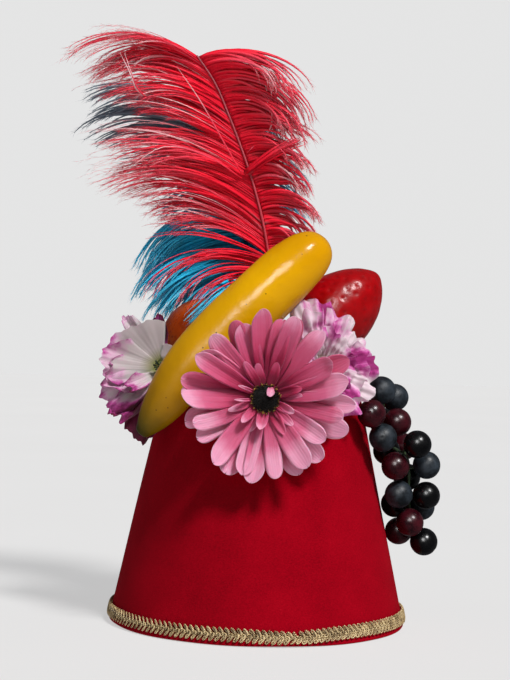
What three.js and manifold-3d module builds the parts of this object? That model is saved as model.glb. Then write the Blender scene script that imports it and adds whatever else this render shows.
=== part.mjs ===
// Fruit hat: a tapered red felt crown with a gold gimp braid round its rim, dressed on top with
// lacquered foam fruit, a bunch of grapes, fabric flowers and two ostrich plumes.
// Millimetres, +Z up, and the front of the hat faces -Y. The origin is the centre of the rim,
// on the surface that the hat stands on.
import * as THREE from "three";
import { mergeVertices } from "three/addons/utils/BufferGeometryUtils.js";
import Module from "manifold-3d";

const wasm = await Module();
wasm.setup();

// Driving dimensions of the crown and its braid
const RIM_RADIUS = 93.5;
const TOP_RADIUS = 61.3;
const CROWN_HEIGHT = 150;
const FELT = 2;
const TOP_EDGE_ROUND = 6;
const CROWN_SIDES = 48;
const BRAID_LOW = 3.6;
const BRAID_WIDTH = 7.5;
const BRAID_THICK = 2.3;

// Clearance between pieces that touch on the real hat
const GAP = 0.35;

// Sizes shared by the petals, the plumes and the wires
const PETAL_THICK = 1;
const LAYER_STEP = PETAL_THICK + GAP;
const LOCK_THICK = 1.6;
const LOCK_STAGGER = 1;
const WIRE_RADIUS = 1.1;

// Fruit
const ORANGE_RADIUS = 28;
const ORANGE_FLATTEN = 0.96;
const GRAPE_RADIUS = 8.75;
const PEDICEL_RADIUS = 0.7;

const rad = THREE.MathUtils.degToRad;
const vec = (x, y, z) => new THREE.Vector3(x, y, z);
const crownRadius = (z) => RIM_RADIUS + ((TOP_RADIUS - RIM_RADIUS) * z) / CROWN_HEIGHT;

const hat = new THREE.Group();

const finish = (color, roughness, metalness = 0) =>
  new THREE.MeshStandardMaterial({ color, roughness, metalness });

const felt = finish("#a00014", 0.95);
const gold = finish("#a08a5c", 0.7, 0.2);
const yellow = finish("#e0a800", 0.3);
const orangePeel = finish("#b8470c", 0.45);
const strawberryRed = finish("#c00418", 0.2);
const pink = finish("#d8688c", 0.8);
const eyeBrown = finish("#1a120c", 0.9);
const lilac = finish("#d0a8c4", 0.8);
const green = finish("#3f5a2c", 0.6);
const grapeFinishes = {
  black: finish("#08080a", 0.12),
  red: finish("#2c0610", 0.12),
  slate: finish("#1c2228", 0.45),
};
const plumeRed = finish("#b4102a", 0.85);
const plumeBlue = finish("#0c6c94", 0.85);

// A closed mesh as a solid that can be joined: shared vertices merged, empty triangles dropped
function solid(geometry) {
  const bare = geometry.clone();
  bare.deleteAttribute("normal");
  bare.deleteAttribute("uv");
  const merged = mergeVertices(bare, 1e-4);
  const triVerts = [];
  for (let i = 0; i < merged.index.count; i += 3) {
    const [a, b, c] = [0, 1, 2].map((k) => merged.index.getX(i + k));
    if (a !== b && b !== c && c !== a) triVerts.push(a, b, c);
  }
  const mesh = new wasm.Mesh({
    numProp: 3,
    vertProperties: merged.attributes.position.array,
    triVerts: new Uint32Array(triVerts),
  });
  return new wasm.Manifold(mesh);
}

function geometryOf(body) {
  const mesh = body.getMesh();
  const geometry = new THREE.BufferGeometry();
  geometry.setAttribute("position", new THREE.BufferAttribute(new Float32Array(mesh.vertProperties), 3));
  geometry.setIndex(new THREE.BufferAttribute(new Uint32Array(mesh.triVerts), 1));
  geometry.computeVertexNormals();
  return geometry;
}

const fuse = (geometries) => geometryOf(geometries.map(solid).reduce((a, b) => a.add(b)));

function place(name, geometry, material, parent = hat) {
  const mesh = new THREE.Mesh(fuse([geometry].flat()), material);
  mesh.name = name;
  parent.add(mesh);
  return mesh;
}

// A profile of [radius, height] pairs turned about +Z
function turned(profile, sides) {
  const points = profile.map(([radius, height]) => new THREE.Vector2(radius, height));
  return new THREE.LatheGeometry(points, sides).rotateX(Math.PI / 2);
}

// Carries a shape that stands on +Y, from 0 to 1, along a curve
function bentAlong(geometry, curve) {
  const position = geometry.attributes.position;
  for (let i = 0; i < position.count; i++) {
    const along = THREE.MathUtils.clamp(position.getY(i), 0, 1);
    const tangent = curve.getTangentAt(along);
    const back = vec(0, 1, 0).addScaledVector(tangent, -tangent.y).normalize();
    const side = tangent.clone().cross(back);
    const point = curve.getPointAt(along);
    point.addScaledVector(side, position.getX(i)).addScaledVector(back, position.getZ(i));
    position.setXYZ(i, point.x, point.y, point.z);
  }
  return geometry;
}

// A thin closed wall on surface(across, along), with across from -1 to 1 and along from 0 to 1
function sheet(surface, acrossSteps, alongSteps, thickness) {
  const STEP = 0.01;
  const geometry = new THREE.BoxGeometry(2, 1, 1, acrossSteps, alongSteps, 1);
  const position = geometry.attributes.position;
  for (let i = 0; i < position.count; i++) {
    const across = position.getX(i);
    const along = position.getY(i) + 0.5;
    const acrossWay = surface(across + STEP, along).sub(surface(across - STEP, along));
    const alongWay = surface(across, along + STEP).sub(surface(across, along - STEP));
    const normal = acrossWay.cross(alongWay).normalize();
    const point = surface(across, along).addScaledVector(normal, position.getZ(i) * thickness);
    position.setXYZ(i, point.x, point.y, point.z);
  }
  return geometry;
}

// A round wire through a few points
function wire(points, radius, steps, sides = 6) {
  const section = new THREE.Shape(
    [...Array(sides)].map((_, i) => {
      const turn = (2 * Math.PI * i) / sides;
      return new THREE.Vector2(radius * Math.cos(turn), radius * Math.sin(turn));
    }),
  );
  const extrudePath = new THREE.CatmullRomCurve3(points);
  return new THREE.ExtrudeGeometry(section, { steps, extrudePath, bevelEnabled: false });
}

// Felt crown: one blocked cone with a flat top, hollow and open at the rim
function crown() {
  const slope = Math.hypot(TOP_RADIUS - RIM_RADIUS, CROWN_HEIGHT) / CROWN_HEIGHT;
  const wall = FELT * slope;
  const ROUND_STEPS = 2;
  const corner = (radius, top, round) =>
    [...Array(ROUND_STEPS + 1)].map((_, i) => {
      const turn = ((i / ROUND_STEPS) * Math.PI) / 2;
      return [radius - round + round * Math.cos(turn), top - round + round * Math.sin(turn)];
    });
  const ceiling = CROWN_HEIGHT - FELT;
  const shoulder = crownRadius(CROWN_HEIGHT - TOP_EDGE_ROUND);
  const inside = corner(shoulder - wall, ceiling, TOP_EDGE_ROUND - FELT).reverse();
  const outside = corner(shoulder, CROWN_HEIGHT, TOP_EDGE_ROUND);
  const rim = [
    [RIM_RADIUS - wall, 0],
    [RIM_RADIUS, 0],
  ];
  const profile = [[0, ceiling], ...inside, ...rim, ...outside, [0, CROWN_HEIGHT]];
  place("crown", turned(profile, CROWN_SIDES), felt);
}

// Gimp braid: a crowned band sewn round the rim, a little above the felt's edge. It rises and falls
// with the hand sewing, and dips where its ends meet at the crown's seam, to the right of the front.
function braid() {
  const section = [
    { height: 0, proud: 0.7 },
    { height: 0.5, proud: 1 },
    { height: 1, proud: 0.7 },
  ];
  const SEAM = rad(15);
  const DIP = { depth: 1.6, spread: rad(14) };
  const SWAY = { height: 1.2, lag: rad(60) };
  const at = (share, out) => {
    const z = BRAID_LOW + BRAID_WIDTH * share;
    return [crownRadius(z) + GAP + out, z];
  };
  const outer = section.map(({ height, proud }) => at(height, BRAID_THICK * proud));
  const band = turned([at(0, 0), ...outer, at(1, 0), at(0, 0)], CROWN_SIDES);
  const position = band.attributes.position;
  for (let i = 0; i < position.count; i++) {
    const [x, y, z] = [position.getX(i), position.getY(i), position.getZ(i)];
    const turn = Math.atan2(x, -y);
    const dip = DIP.depth * Math.exp(-(((turn - SEAM) / DIP.spread) ** 2));
    const rise = SWAY.height * Math.sin(turn - SEAM) * Math.exp(-((turn / SWAY.lag) ** 2)) - dip;
    const radius = Math.hypot(x, y);
    const shift = (radius + crownRadius(z + rise) - crownRadius(z)) / radius;
    position.setXYZ(i, x * shift, y * shift, z + rise);
  }
  place("braid", band, gold);
}

// Banana: round sections on a bowed axis, its lower end leaning on the crown's front left edge
function banana() {
  const axis = new THREE.CatmullRomCurve3([
    vec(-73, -55, 119),
    vec(-60, -57.9, 137),
    vec(-48, -57.9, 155),
    vec(-27, -55, 179),
    vec(-6, -53, 200),
    vec(10, -51, 216),
    vec(25, -49, 230),
    vec(37, -48, 239),
  ]);
  const sections = [
    { along: 0, radius: 0 },
    { along: 0.004, radius: 3 },
    { along: 0.03, radius: 6 },
    { along: 0.1, radius: 10.5 },
    { along: 0.22, radius: 14.5 },
    { along: 0.38, radius: 17.3 },
    { along: 0.55, radius: 18.4 },
    { along: 0.72, radius: 18.4 },
    { along: 0.85, radius: 17.2 },
    { along: 0.93, radius: 14.4 },
    { along: 0.98, radius: 9 },
    { along: 1, radius: 0 },
  ];
  const SIDES = 12;
  const profile = sections.map(({ along, radius }) => new THREE.Vector2(radius, along));
  place("banana", bentAlong(new THREE.LatheGeometry(profile, SIDES), axis), yellow);
}

// Orange: a slightly flattened ball that sits on the crown's top
function orange() {
  const ball = new THREE.SphereGeometry(ORANGE_RADIUS, 14, 10).rotateX(Math.PI / 2);
  ball.scale(1, 1, ORANGE_FLATTEN);
  const seat = CROWN_HEIGHT + GAP + ORANGE_RADIUS * ORANGE_FLATTEN;
  place("orange", ball, orangePeel).position.set(-37.5, 3, seat);
}

// Strawberry: a blunt cone on a wire pick, its tip pointing up to the right
function strawberry() {
  const sections = [
    { height: 0, radius: 0 },
    { height: 1, radius: 11 },
    { height: 5, radius: 19.5 },
    { height: 12, radius: 24 },
    { height: 21, radius: 24.4 },
    { height: 31, radius: 22 },
    { height: 41, radius: 17.5 },
    { height: 49, radius: 11.5 },
    { height: 54, radius: 5.5 },
    { height: 56, radius: 0 },
  ];
  const SIDES = 14;
  const base = vec(31, -5, 183);
  const lean = rad(46);
  const profile = sections.map(({ radius, height }) => [radius, height]);
  const fruit = place("strawberry", turned(profile, SIDES), strawberryRed);
  fruit.position.copy(base);
  fruit.rotation.y = lean;
  const foot = vec(24, -5, CROWN_HEIGHT + GAP);
  const head = base.clone().add(vec(-1.5 * GAP, 0, -1.5 * GAP));
  const bend = vec(25, -5, CROWN_HEIGHT + 18);
  place("strawberry_pick", wire([foot, bend, head], WIRE_RADIUS, 6), green);
}

// A bloom's group: its own +Z is turned to face the given way
function bloomAt(position, facing) {
  const bloom = new THREE.Group();
  bloom.position.copy(position);
  bloom.quaternion.setFromUnitVectors(vec(0, 0, 1), facing.clone().normalize());
  hat.add(bloom);
  return bloom;
}

// Columns across one petal, from the notch before it: "place" runs from -1 to 1 between the two
// neighbours, "reach" is the share of the petal's length and "lift" the share of its frill
const STRAP_COLUMNS = [
  { place: -1, reach: 0.3, lift: 0 },
  { place: -0.7, reach: 0.87, lift: 1 },
  { place: 0, reach: 1, lift: -1 },
  { place: 0.7, reach: 0.87, lift: 1 },
];
const FRILL_COLUMNS = [
  { place: -1, reach: 0.4, lift: 0 },
  { place: -0.75, reach: 0.86, lift: 1 },
  { place: -0.4, reach: 0.98, lift: -1 },
  { place: 0, reach: 1, lift: 1 },
  { place: 0.4, reach: 0.98, lift: -1 },
  { place: 0.75, reach: 0.86, lift: 1 },
];

// A die-cut layer of petals in its bloom's own frame: one disc with notches between the petals. It is
// flat over the hub and bends up from there, each petal an arc that leaves the bloom's plane at "rise"
// degrees and ends at "rise + curl". Each profile point is the hub's share, then 1 + the petal's share.
function petalLayer(bloom, name, material, { level, hub, curl, frill, columns, petals }) {
  const WIDEST_HALF = 26;
  const reaches = [0, 1, 1.55, 2];
  const under = reaches.map((reach) => new THREE.Vector2(reach, -0.5));
  const upper = reaches.map((reach) => new THREE.Vector2(reach, 0.5)).reverse();
  const sides = petals.length * columns.length;
  const disc = new THREE.LatheGeometry([...under, ...upper], sides);
  const position = disc.attributes.position;
  const wrap = (turn) => (turn + 360) % 360;
  for (let i = 0; i < position.count; i++) {
    const [x, y, z] = [position.getX(i), position.getY(i), position.getZ(i)];
    const step = Math.round((Math.atan2(x, z) / (2 * Math.PI)) * sides + sides) % sides;
    const index = Math.floor(step / columns.length);
    const column = columns[step % columns.length];
    const [before, own, after] = [-1, 0, 1].map((k) => petals.at((index + k) % petals.length));
    const notch = column.place === -1;
    const gap = column.place < 0 ? wrap(own.turn - before.turn) : wrap(after.turn - own.turn);
    const half = notch ? gap / 2 : Math.min(gap / 2, WIDEST_HALF);
    const length = column.reach * (notch ? Math.min(own.length, before.length) : own.length);
    const rise = notch ? (own.rise + before.rise) / 2 : own.rise;
    const reach = Math.hypot(x, z);
    const along = Math.max(0, reach - 1);
    const angle = rad(rise + curl * along);
    const out = hub * Math.min(reach, 1) + (length * (Math.sin(angle) - Math.sin(rad(rise)))) / rad(curl);
    const up = (length * (Math.cos(rad(rise)) - Math.cos(angle))) / rad(curl);
    const tilt = along > 0 ? angle : 0;
    const lift = y * PETAL_THICK + frill * column.lift * along * along;
    const point = vec(out - lift * Math.sin(tilt), 0, up + lift * Math.cos(tilt));
    point.applyAxisAngle(vec(0, 0, 1), rad(own.turn + column.place * half));
    position.setXYZ(i, point.x, point.y, point.z);
  }
  place(name, disc, material, bloom).position.z = level * LAYER_STEP;
}

// Gerbera: three die-cut layers of strap petals, a dark eye, and a stem that meets the crown's front
function gerbera() {
  const REACH = 80;
  const HEIGHT = 144;
  const HUB_RADIUS = 9;
  const EYE_RADIUS = 7.5;
  const STEM_RADIUS = 2.5;
  const bloom = bloomAt(vec(1.5, -REACH, HEIGHT), vec(0, -1, 0));
  const layers = [
    { name: "back", count: 15, offset: 0, length: 46, rise: 5, curl: 16, frill: 1 },
    { name: "front", count: 15, offset: 12, length: 42, rise: 14, curl: 22, frill: 1 },
    { name: "inner", count: 13, offset: 5, length: 18, rise: 34, curl: 12, frill: 0.5 },
  ];
  layers.forEach(({ name, count, offset, length, rise, curl, frill }, level) => {
    const petals = [...Array(count)].map((_, i) => ({ turn: offset + (360 * i) / count, length, rise }));
    const layer = { level, hub: HUB_RADIUS, curl, frill, columns: STRAP_COLUMNS, petals };
    petalLayer(bloom, `gerbera_${name}_petals`, pink, layer);
  });
  const seat = layers.length * LAYER_STEP - PETAL_THICK / 2;
  const dome = [
    [0, seat],
    [EYE_RADIUS, seat],
    [EYE_RADIUS, seat + 3],
    [EYE_RADIUS - 1.5, seat + 5],
    [0, seat + 4],
  ];
  place("gerbera_eye", turned(dome, 16), eyeBrown, bloom);
  const calyx = -PETAL_THICK / 2 - GAP;
  const foot = -(REACH - crownRadius(HEIGHT - STEM_RADIUS) - GAP);
  const stem = [
    [0, foot],
    [STEM_RADIUS, foot],
    [STEM_RADIUS, calyx - 8],
    [8, calyx - 2],
    [8, calyx],
    [0, calyx],
  ];
  place("gerbera_stem", turned(stem, 12), green, bloom);
}

// Left bloom: one trumpet of broad frilled petals. Those behind the banana are folded short.
function leftBloom() {
  const bloom = bloomAt(vec(-63, -22, 159.5), vec(-0.25, -0.96, 0.1));
  const petals = [
    { turn: 88, length: 36, rise: 20 },
    { turn: 130, length: 39, rise: 26 },
    { turn: 172, length: 39, rise: 24 },
    { turn: 210, length: 39, rise: 28 },
    { turn: 242, length: 45, rise: 12 },
    { turn: 12, length: 12, rise: 10 },
    { turn: 52, length: 16, rise: 10 },
  ];
  const layer = { level: 0, hub: 5, curl: 12, frill: 2, columns: FRILL_COLUMNS, petals };
  petalLayer(bloom, "left_bloom_petals", lilac, layer);
  const seat = PETAL_THICK / 2 + GAP;
  const stamens = [
    [0, seat],
    [2.2, seat],
    [1.6, seat + 5],
    [3, seat + 8],
    [1.5, seat + 10],
    [0, seat + 10],
  ];
  place("left_bloom_stamens", turned(stamens, 8), green, bloom);
  stemTo("left_bloom_stem", bloom, vec(-47, -17, CROWN_HEIGHT + GAP));
}

// Right bloom: a double bloom of three frilled layers, its petals folded short beside the banana
function rightBloom() {
  const bloom = bloomAt(vec(34, -53, 161), vec(0.3, -0.9, 0.3));
  const layers = [
    { name: "outer", count: 8, offset: 8, length: 27, rise: 14, curl: 12, frill: 1.6, hub: 8 },
    { name: "middle", count: 7, offset: 30, length: 22, rise: 40, curl: 12, frill: 1.4, hub: 7.5 },
    { name: "inner", count: 5, offset: 0, length: 18, rise: 62, curl: 10, frill: 1, hub: 5 },
  ];
  const FOLDED_FROM = 95;
  const FOLDED_TO = 240;
  const FOLDED_SHARE = 0.55;
  layers.forEach(({ name, count, offset, length, rise, curl, frill, hub }, level) => {
    const petals = [...Array(count)].map((_, i) => {
      const turn = (offset + (360 * i) / count) % 360;
      const folded = turn > FOLDED_FROM && turn < FOLDED_TO;
      return { turn, length: folded ? length * FOLDED_SHARE : length, rise };
    });
    const layer = { level, hub, curl, frill, columns: FRILL_COLUMNS, petals };
    petalLayer(bloom, `right_bloom_${name}_petals`, lilac, layer);
  });
  stemTo("right_bloom_stem", bloom, vec(27, -38, CROWN_HEIGHT + GAP));
}

// A short wire from the back of a bloom's hub to a point on the crown's top
function stemTo(name, bloom, foot) {
  const facing = vec(0, 0, 1).applyQuaternion(bloom.quaternion);
  const head = bloom.position.clone().addScaledVector(facing, -PETAL_THICK / 2 - GAP);
  const bend = head.clone().addScaledVector(facing, -5);
  const rise = foot.clone().add(vec(0, 0, 3));
  place(name, wire([foot, rise, bend, head], WIRE_RADIUS, 6, 5), green);
}

// Grapes: berries round a stem that comes over the crown's right edge and hangs down beside it, each
// berry's own end turned to its pedicel
function grapes() {
  const berries = [
    { x: 74, y: -26, z: 149, skin: "slate" },
    { x: 84, y: -6, z: 144, skin: "slate" },
    { x: 67, y: -42, z: 135, skin: "red" },
    { x: 85, y: -18, z: 129, skin: "red" },
    { x: 75, y: -33, z: 120, skin: "slate" },
    { x: 97, y: -27, z: 116, skin: "black" },
    { x: 84, y: -24, z: 102, skin: "red" },
    { x: 105, y: -9, z: 102, skin: "slate" },
    { x: 94, y: 4, z: 93, skin: "black" },
    { x: 87, y: -19, z: 84, skin: "slate" },
    { x: 105, y: -12, z: 83, skin: "black" },
    { x: 95, y: -14, z: 66, skin: "red" },
    { x: 105, y: -5, z: 53, skin: "black" },
    { x: 78, y: 8, z: 128, skin: "black" },
    { x: 92, y: 11, z: 112, skin: "red" },
    { x: 80, y: -4, z: 110, skin: "black" },
    { x: 86.5, y: 2, z: 76, skin: "black" },
    { x: 104, y: 7, z: 74, skin: "slate" },
    { x: 90, y: 7, z: 58, skin: "red" },
  ];
  const route = [
    vec(50, -16, CROWN_HEIGHT + GAP + WIRE_RADIUS),
    vec(62, -14, 156),
    vec(74, -13, 155),
    vec(76, -14, 138),
    vec(75, -14, 124),
    vec(82, -15, 114),
    vec(92, -11, 106),
    vec(94, -9, 90),
    vec(95, -4, 74),
    vec(96, -2, 60),
  ];
  const STEM_STEPS = 18;
  const line = new THREE.CatmullRomCurve3(route).getSpacedPoints(STEM_STEPS * 2);
  const pedicels = berries.map(({ x, y, z, skin }, i) => {
    const centre = vec(x, y, z);
    const from = line.reduce((a, b) => (a.distanceTo(centre) < b.distanceTo(centre) ? a : b));
    const way = centre.clone().sub(from).normalize();
    const facing = new THREE.Quaternion().setFromUnitVectors(vec(0, 1, 0), way);
    const name = `grape_${String(i + 1).padStart(2, "0")}`;
    const berry = place(name, new THREE.SphereGeometry(GRAPE_RADIUS, 10, 6), grapeFinishes[skin]);
    berry.position.copy(centre);
    berry.quaternion.copy(facing);
    const length = from.distanceTo(centre) - GRAPE_RADIUS - GAP;
    const pedicel = new THREE.CylinderGeometry(PEDICEL_RADIUS, PEDICEL_RADIUS, length, 4);
    return pedicel.translate(0, length / 2, 0).applyQuaternion(facing).translate(from.x, from.y, from.z);
  });
  place("grape_stem", [wire(route, WIRE_RADIUS, STEM_STEPS, 5), ...pedicels], green);
}

// Ostrich plume: a tapered quill with locks of barbs fused along both sides. "quillAt" is the lock's
// place along the quill. Angles are in the plume's plane, from +X towards +Z, and each lock is an arc
// that turns from "leave" to "end" over its length. "lean" is how far its tip comes to the front, and
// every second lock leans further by "fan".
function plume(name, material, quillPoints, fan, sides) {
  const QUILL_ROOT = 2;
  const QUILL_TIP = 0.8;
  const quillLine = new THREE.CatmullRomCurve3(quillPoints);
  const quill = bentAlong(
    new THREE.CylinderGeometry(QUILL_TIP, QUILL_ROOT, 1, 6, 10).translate(0, 0.5, 0),
    quillLine,
  );
  const locks = sides.flatMap(({ count, width, stations }) =>
    [...Array(count)].map((_, i) => {
      const row = stationAt(stations, i / (count - 1));
      const stagger = Math.sign(fan) * (i % 2 ? -LOCK_STAGGER : LOCK_STAGGER);
      row.lean += i % 2 ? fan : 0;
      return lock(quillLine.getPointAt(row.quillAt), row, width, stagger);
    }),
  );
  place(name, [quill, ...locks], material);
}

// The row at a share of the way through a table of stations, between its two neighbours
function stationAt(stations, share) {
  const spot = share * (stations.length - 1);
  const low = Math.min(Math.floor(spot), stations.length - 2);
  const mixed = Object.keys(stations[low]).map((key) => {
    return [key, THREE.MathUtils.lerp(stations[low][key], stations[low + 1][key], spot - low)];
  });
  return Object.fromEntries(mixed);
}

// One lock of barbs: a flat strip along an arc, narrow at the quill and at its tip
function lock(root, { leave, end, length, lean }, width, stagger) {
  const turn = rad(end - leave);
  const outline = (along) => 0.2 + 0.8 * Math.sin(Math.PI * THREE.MathUtils.clamp(along * 0.9, 0, 1));
  return sheet(
    (across, along) => {
      const angle = rad(leave) + turn * along;
      const side = (across * width * outline(along)) / 2;
      const x = (length * (Math.sin(angle) - Math.sin(rad(leave)))) / turn - side * Math.sin(angle);
      const z = (length * (Math.cos(rad(leave)) - Math.cos(angle))) / turn + side * Math.cos(angle);
      const front = lean * along - stagger;
      return vec(root.x + x, root.y - front, root.z + z);
    },
    1,
    4,
    LOCK_THICK,
  );
}

function redPlume() {
  const quill = [
    vec(6, 3, CROWN_HEIGHT + GAP),
    vec(5, 3, 200),
    vec(1, 2, 236),
    vec(-8, 0, 273),
    vec(-15, -2, 293),
    vec(-26, -4, 320),
    vec(-36, -8, 341),
    vec(-47, -14, 356),
  ];
  const left = [
    { quillAt: 1, leave: 154, end: 206, length: 86, lean: 16 },
    { quillAt: 0.9, leave: 156, end: 200, length: 94, lean: 14 },
    { quillAt: 0.78, leave: 152, end: 178, length: 98, lean: 10 },
    { quillAt: 0.66, leave: 150, end: 188, length: 100, lean: 8 },
    { quillAt: 0.54, leave: 162, end: 198, length: 88, lean: 10 },
    { quillAt: 0.44, leave: 168, end: 192, length: 72, lean: 14 },
    { quillAt: 0.39, leave: 180, end: 212, length: 82, lean: 24 },
    { quillAt: 0.35, leave: 190, end: 222, length: 66, lean: 28 },
  ];
  const right = [
    { quillAt: 0.95, leave: 40, end: -52, length: 70, lean: 6 },
    { quillAt: 0.86, leave: 26, end: -60, length: 64, lean: 4 },
    { quillAt: 0.72, leave: 22, end: -70, length: 56, lean: 2 },
    { quillAt: 0.58, leave: 26, end: -64, length: 50, lean: 0 },
    { quillAt: 0.46, leave: 18, end: -52, length: 42, lean: 0 },
    { quillAt: 0.38, leave: 12, end: -40, length: 36, lean: 0 },
  ];
  plume("red_plume", plumeRed, quill, 16, [
    { count: 15, width: 15, stations: left },
    { count: 11, width: 14, stations: right },
  ]);
}

function bluePlume() {
  const quill = [
    vec(-4, 19, CROWN_HEIGHT + GAP),
    vec(-6, 19, 200),
    vec(-11, 18, 240),
    vec(-19, 17, 275),
    vec(-30, 15, 306),
    vec(-43, 12, 330),
  ];
  const left = [
    { quillAt: 1, leave: 158, end: 196, length: 66, lean: 6 },
    { quillAt: 0.84, leave: 162, end: 194, length: 74, lean: 4 },
    { quillAt: 0.66, leave: 170, end: 210, length: 66, lean: 4 },
    { quillAt: 0.52, leave: 180, end: 234, length: 80, lean: 8 },
    { quillAt: 0.44, leave: 192, end: 240, length: 72, lean: 10 },
  ];
  const right = [
    { quillAt: 0.98, leave: 40, end: -40, length: 48, lean: -4 },
    { quillAt: 0.74, leave: 24, end: -58, length: 48, lean: -4 },
    { quillAt: 0.5, leave: 16, end: -50, length: 40, lean: -2 },
  ];
  plume("blue_plume", plumeBlue, quill, -20, [
    { count: 10, width: 15, stations: left },
    { count: 7, width: 14, stations: right },
  ]);
}

crown();
braid();
banana();
orange();
strawberry();
gerbera();
leftBloom();
rightBloom();
grapes();
redPlume();
bluePlume();

export default hat;
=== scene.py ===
"""Looks of the fruit hat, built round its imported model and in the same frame.

+Z is up, the front of the hat faces -Y, and the origin is the centre of the rim on the floor. Shapes are
worked out in millimetres as whole arrays and become metres as each mesh is written.
"""

import bpy
import numpy as np
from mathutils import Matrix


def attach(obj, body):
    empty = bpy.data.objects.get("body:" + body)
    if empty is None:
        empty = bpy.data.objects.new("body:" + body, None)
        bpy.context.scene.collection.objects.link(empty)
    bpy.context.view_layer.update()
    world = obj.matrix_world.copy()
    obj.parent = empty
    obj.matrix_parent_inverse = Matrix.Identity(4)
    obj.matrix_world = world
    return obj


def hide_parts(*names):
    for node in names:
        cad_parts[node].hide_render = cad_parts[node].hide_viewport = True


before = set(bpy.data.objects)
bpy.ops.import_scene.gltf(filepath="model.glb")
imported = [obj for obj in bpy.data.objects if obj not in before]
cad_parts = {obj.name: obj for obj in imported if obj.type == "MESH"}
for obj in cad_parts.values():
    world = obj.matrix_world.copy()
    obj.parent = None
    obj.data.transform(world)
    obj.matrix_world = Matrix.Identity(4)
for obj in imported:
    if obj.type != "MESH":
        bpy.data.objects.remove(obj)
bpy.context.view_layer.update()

MM = 0.001
FULL_TURN = 2 * np.pi
GOLDEN_TURN = np.pi * (3 - np.sqrt(5))

# The crown, in millimetres
RIM_RADIUS = 93.5
TOP_RADIUS = 61.3
CROWN_HEIGHT = 150.0
FELT = 2.0
TOP_EDGE_ROUND = 6.0

# The clearance between pieces, where wires and quills stand, and sizes that the blooms share
GAP = 0.35
STAND = CROWN_HEIGHT + GAP
WIRE = 1.1
CLOTH = 0.45
HUB_BACK = 0.85
LAYER_STEP = 1.35


def crown_radius(height):
    """The cone's outer radius falls evenly from the rim to the top."""
    return RIM_RADIUS + (TOP_RADIUS - RIM_RADIUS) * height / CROWN_HEIGHT


# Lines and curves


def turns(sides):
    """Equally spaced angles, once round."""
    return np.linspace(0, FULL_TURN, sides, endpoint=False)


def bell(distance, width):
    """1 in the middle, falling away on both sides with the square of the distance in widths."""
    return np.exp(-((distance / width) ** 2))


def onset(place, start, end=1.0):
    """0 up to the start, rising evenly to 1 at the end."""
    return np.clip((place - start) / (end - start), 0, 1)


def unit(vectors):
    """Vectors at length 1."""
    vectors = np.asarray(vectors, float)
    return vectors / np.maximum(np.linalg.norm(vectors, axis=-1, keepdims=True), 1e-9)


def bearings(angle):
    """Level vectors of length 1 at these angles."""
    return np.stack([np.cos(angle), np.sin(angle), 0 * angle], axis=-1)


def distances(points):
    """How far along its line each point is."""
    steps = np.diff(points, axis=-2, prepend=points[..., :1, :])
    return np.cumsum(np.linalg.norm(steps, axis=-1), axis=-1)


def blended(spots, knots, rows):
    """Rows of numbers at any spots between their knots, each column evenly blended."""
    return np.stack([np.interp(spots, knots, column) for column in np.transpose(rows)], axis=-1)


def through(at, knots, values):
    """A smooth line through values at knots: a cubic in each span, with the finite differences as its
    slopes."""
    knots, values = np.asarray(knots, float), np.asarray(values, float)
    slopes = np.gradient(values, knots, axis=0)
    at = np.clip(at, knots[0], knots[-1])
    span = np.clip(np.searchsorted(knots, at, side="right") - 1, 0, len(knots) - 2)
    width = knots[span + 1] - knots[span]
    share = (at - knots[span]) / width
    if values.ndim == 2:
        share, width = share[..., None], width[..., None]
    start = (1 + 2 * share) * (1 - share) ** 2 * values[span]
    end = share**2 * (3 - 2 * share) * values[span + 1]
    bend = share * (1 - share) * width * ((1 - share) * slopes[span] - share * slopes[span + 1])
    return start + end + bend


def route(points, count):
    """Evenly spaced points on the smooth line through a few points, which are knotted by their distances."""
    FINE_STEPS = 60
    points = np.asarray(points, float)
    knots = distances(points)
    fine = through(np.linspace(0, knots[-1], FINE_STEPS * len(points)), knots, points)
    run = distances(fine)
    return blended(np.linspace(0, run[-1], count), run, fine)


def round_ended(place, sections):
    """Radii at places along a body, from sections of place and radius. Their squares are smooth along it,
    so an end that falls to 0 is round."""
    SMALLEST_SQUARE = 0.02
    places, radii = np.transpose(sections)
    return np.sqrt(np.maximum(through(place, places, radii**2), SMALLEST_SQUARE))


def run_and_height(angle, step):
    """A line that turns as it goes: running sums of each step times the cosine and the sine of the angle
    halfway along it."""
    halfway = (angle + np.concatenate([angle[:, :1], angle[:, :-1]], axis=1)) / 2
    return np.cumsum(np.cos(halfway) * step, axis=1), np.cumsum(np.sin(halfway) * step, axis=1)


# Arrays to meshes


def ringed(path, radius, sides, beside=(0, 1, 0)):
    """Rings along a path: round each point a circle across the path's own direction, started from the side
    that "beside" names. The radius is one number, one for each point, or one for each point and side."""
    path = np.asarray(path, float)
    ahead = unit(np.gradient(path, axis=-2))
    beside = np.broadcast_to(np.asarray(beside, float), path.shape)
    back = unit(beside - ahead * np.sum(ahead * beside, axis=-1, keepdims=True))
    side = np.cross(ahead, back)
    turn = turns(sides)[:, None]
    ring = side[..., None, :] * np.cos(turn) + back[..., None, :] * np.sin(turn)
    radius = np.asarray(radius, float)
    if radius.ndim < path.ndim:
        radius = radius[..., None]
    return path[..., None, :] + np.broadcast_to(radius, ring.shape[:-1])[..., None] * ring


def spun(radius, height, sides):
    """A profile of radii and heights turned about +Z, as rings of equally spaced points."""
    turn = turns(sides)
    radius = np.asarray(radius, float)[:, None]
    rings = [radius * np.cos(turn), radius * np.sin(turn), np.asarray(height, float)[:, None] + 0 * turn]
    return np.stack(rings, axis=-1)


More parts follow.
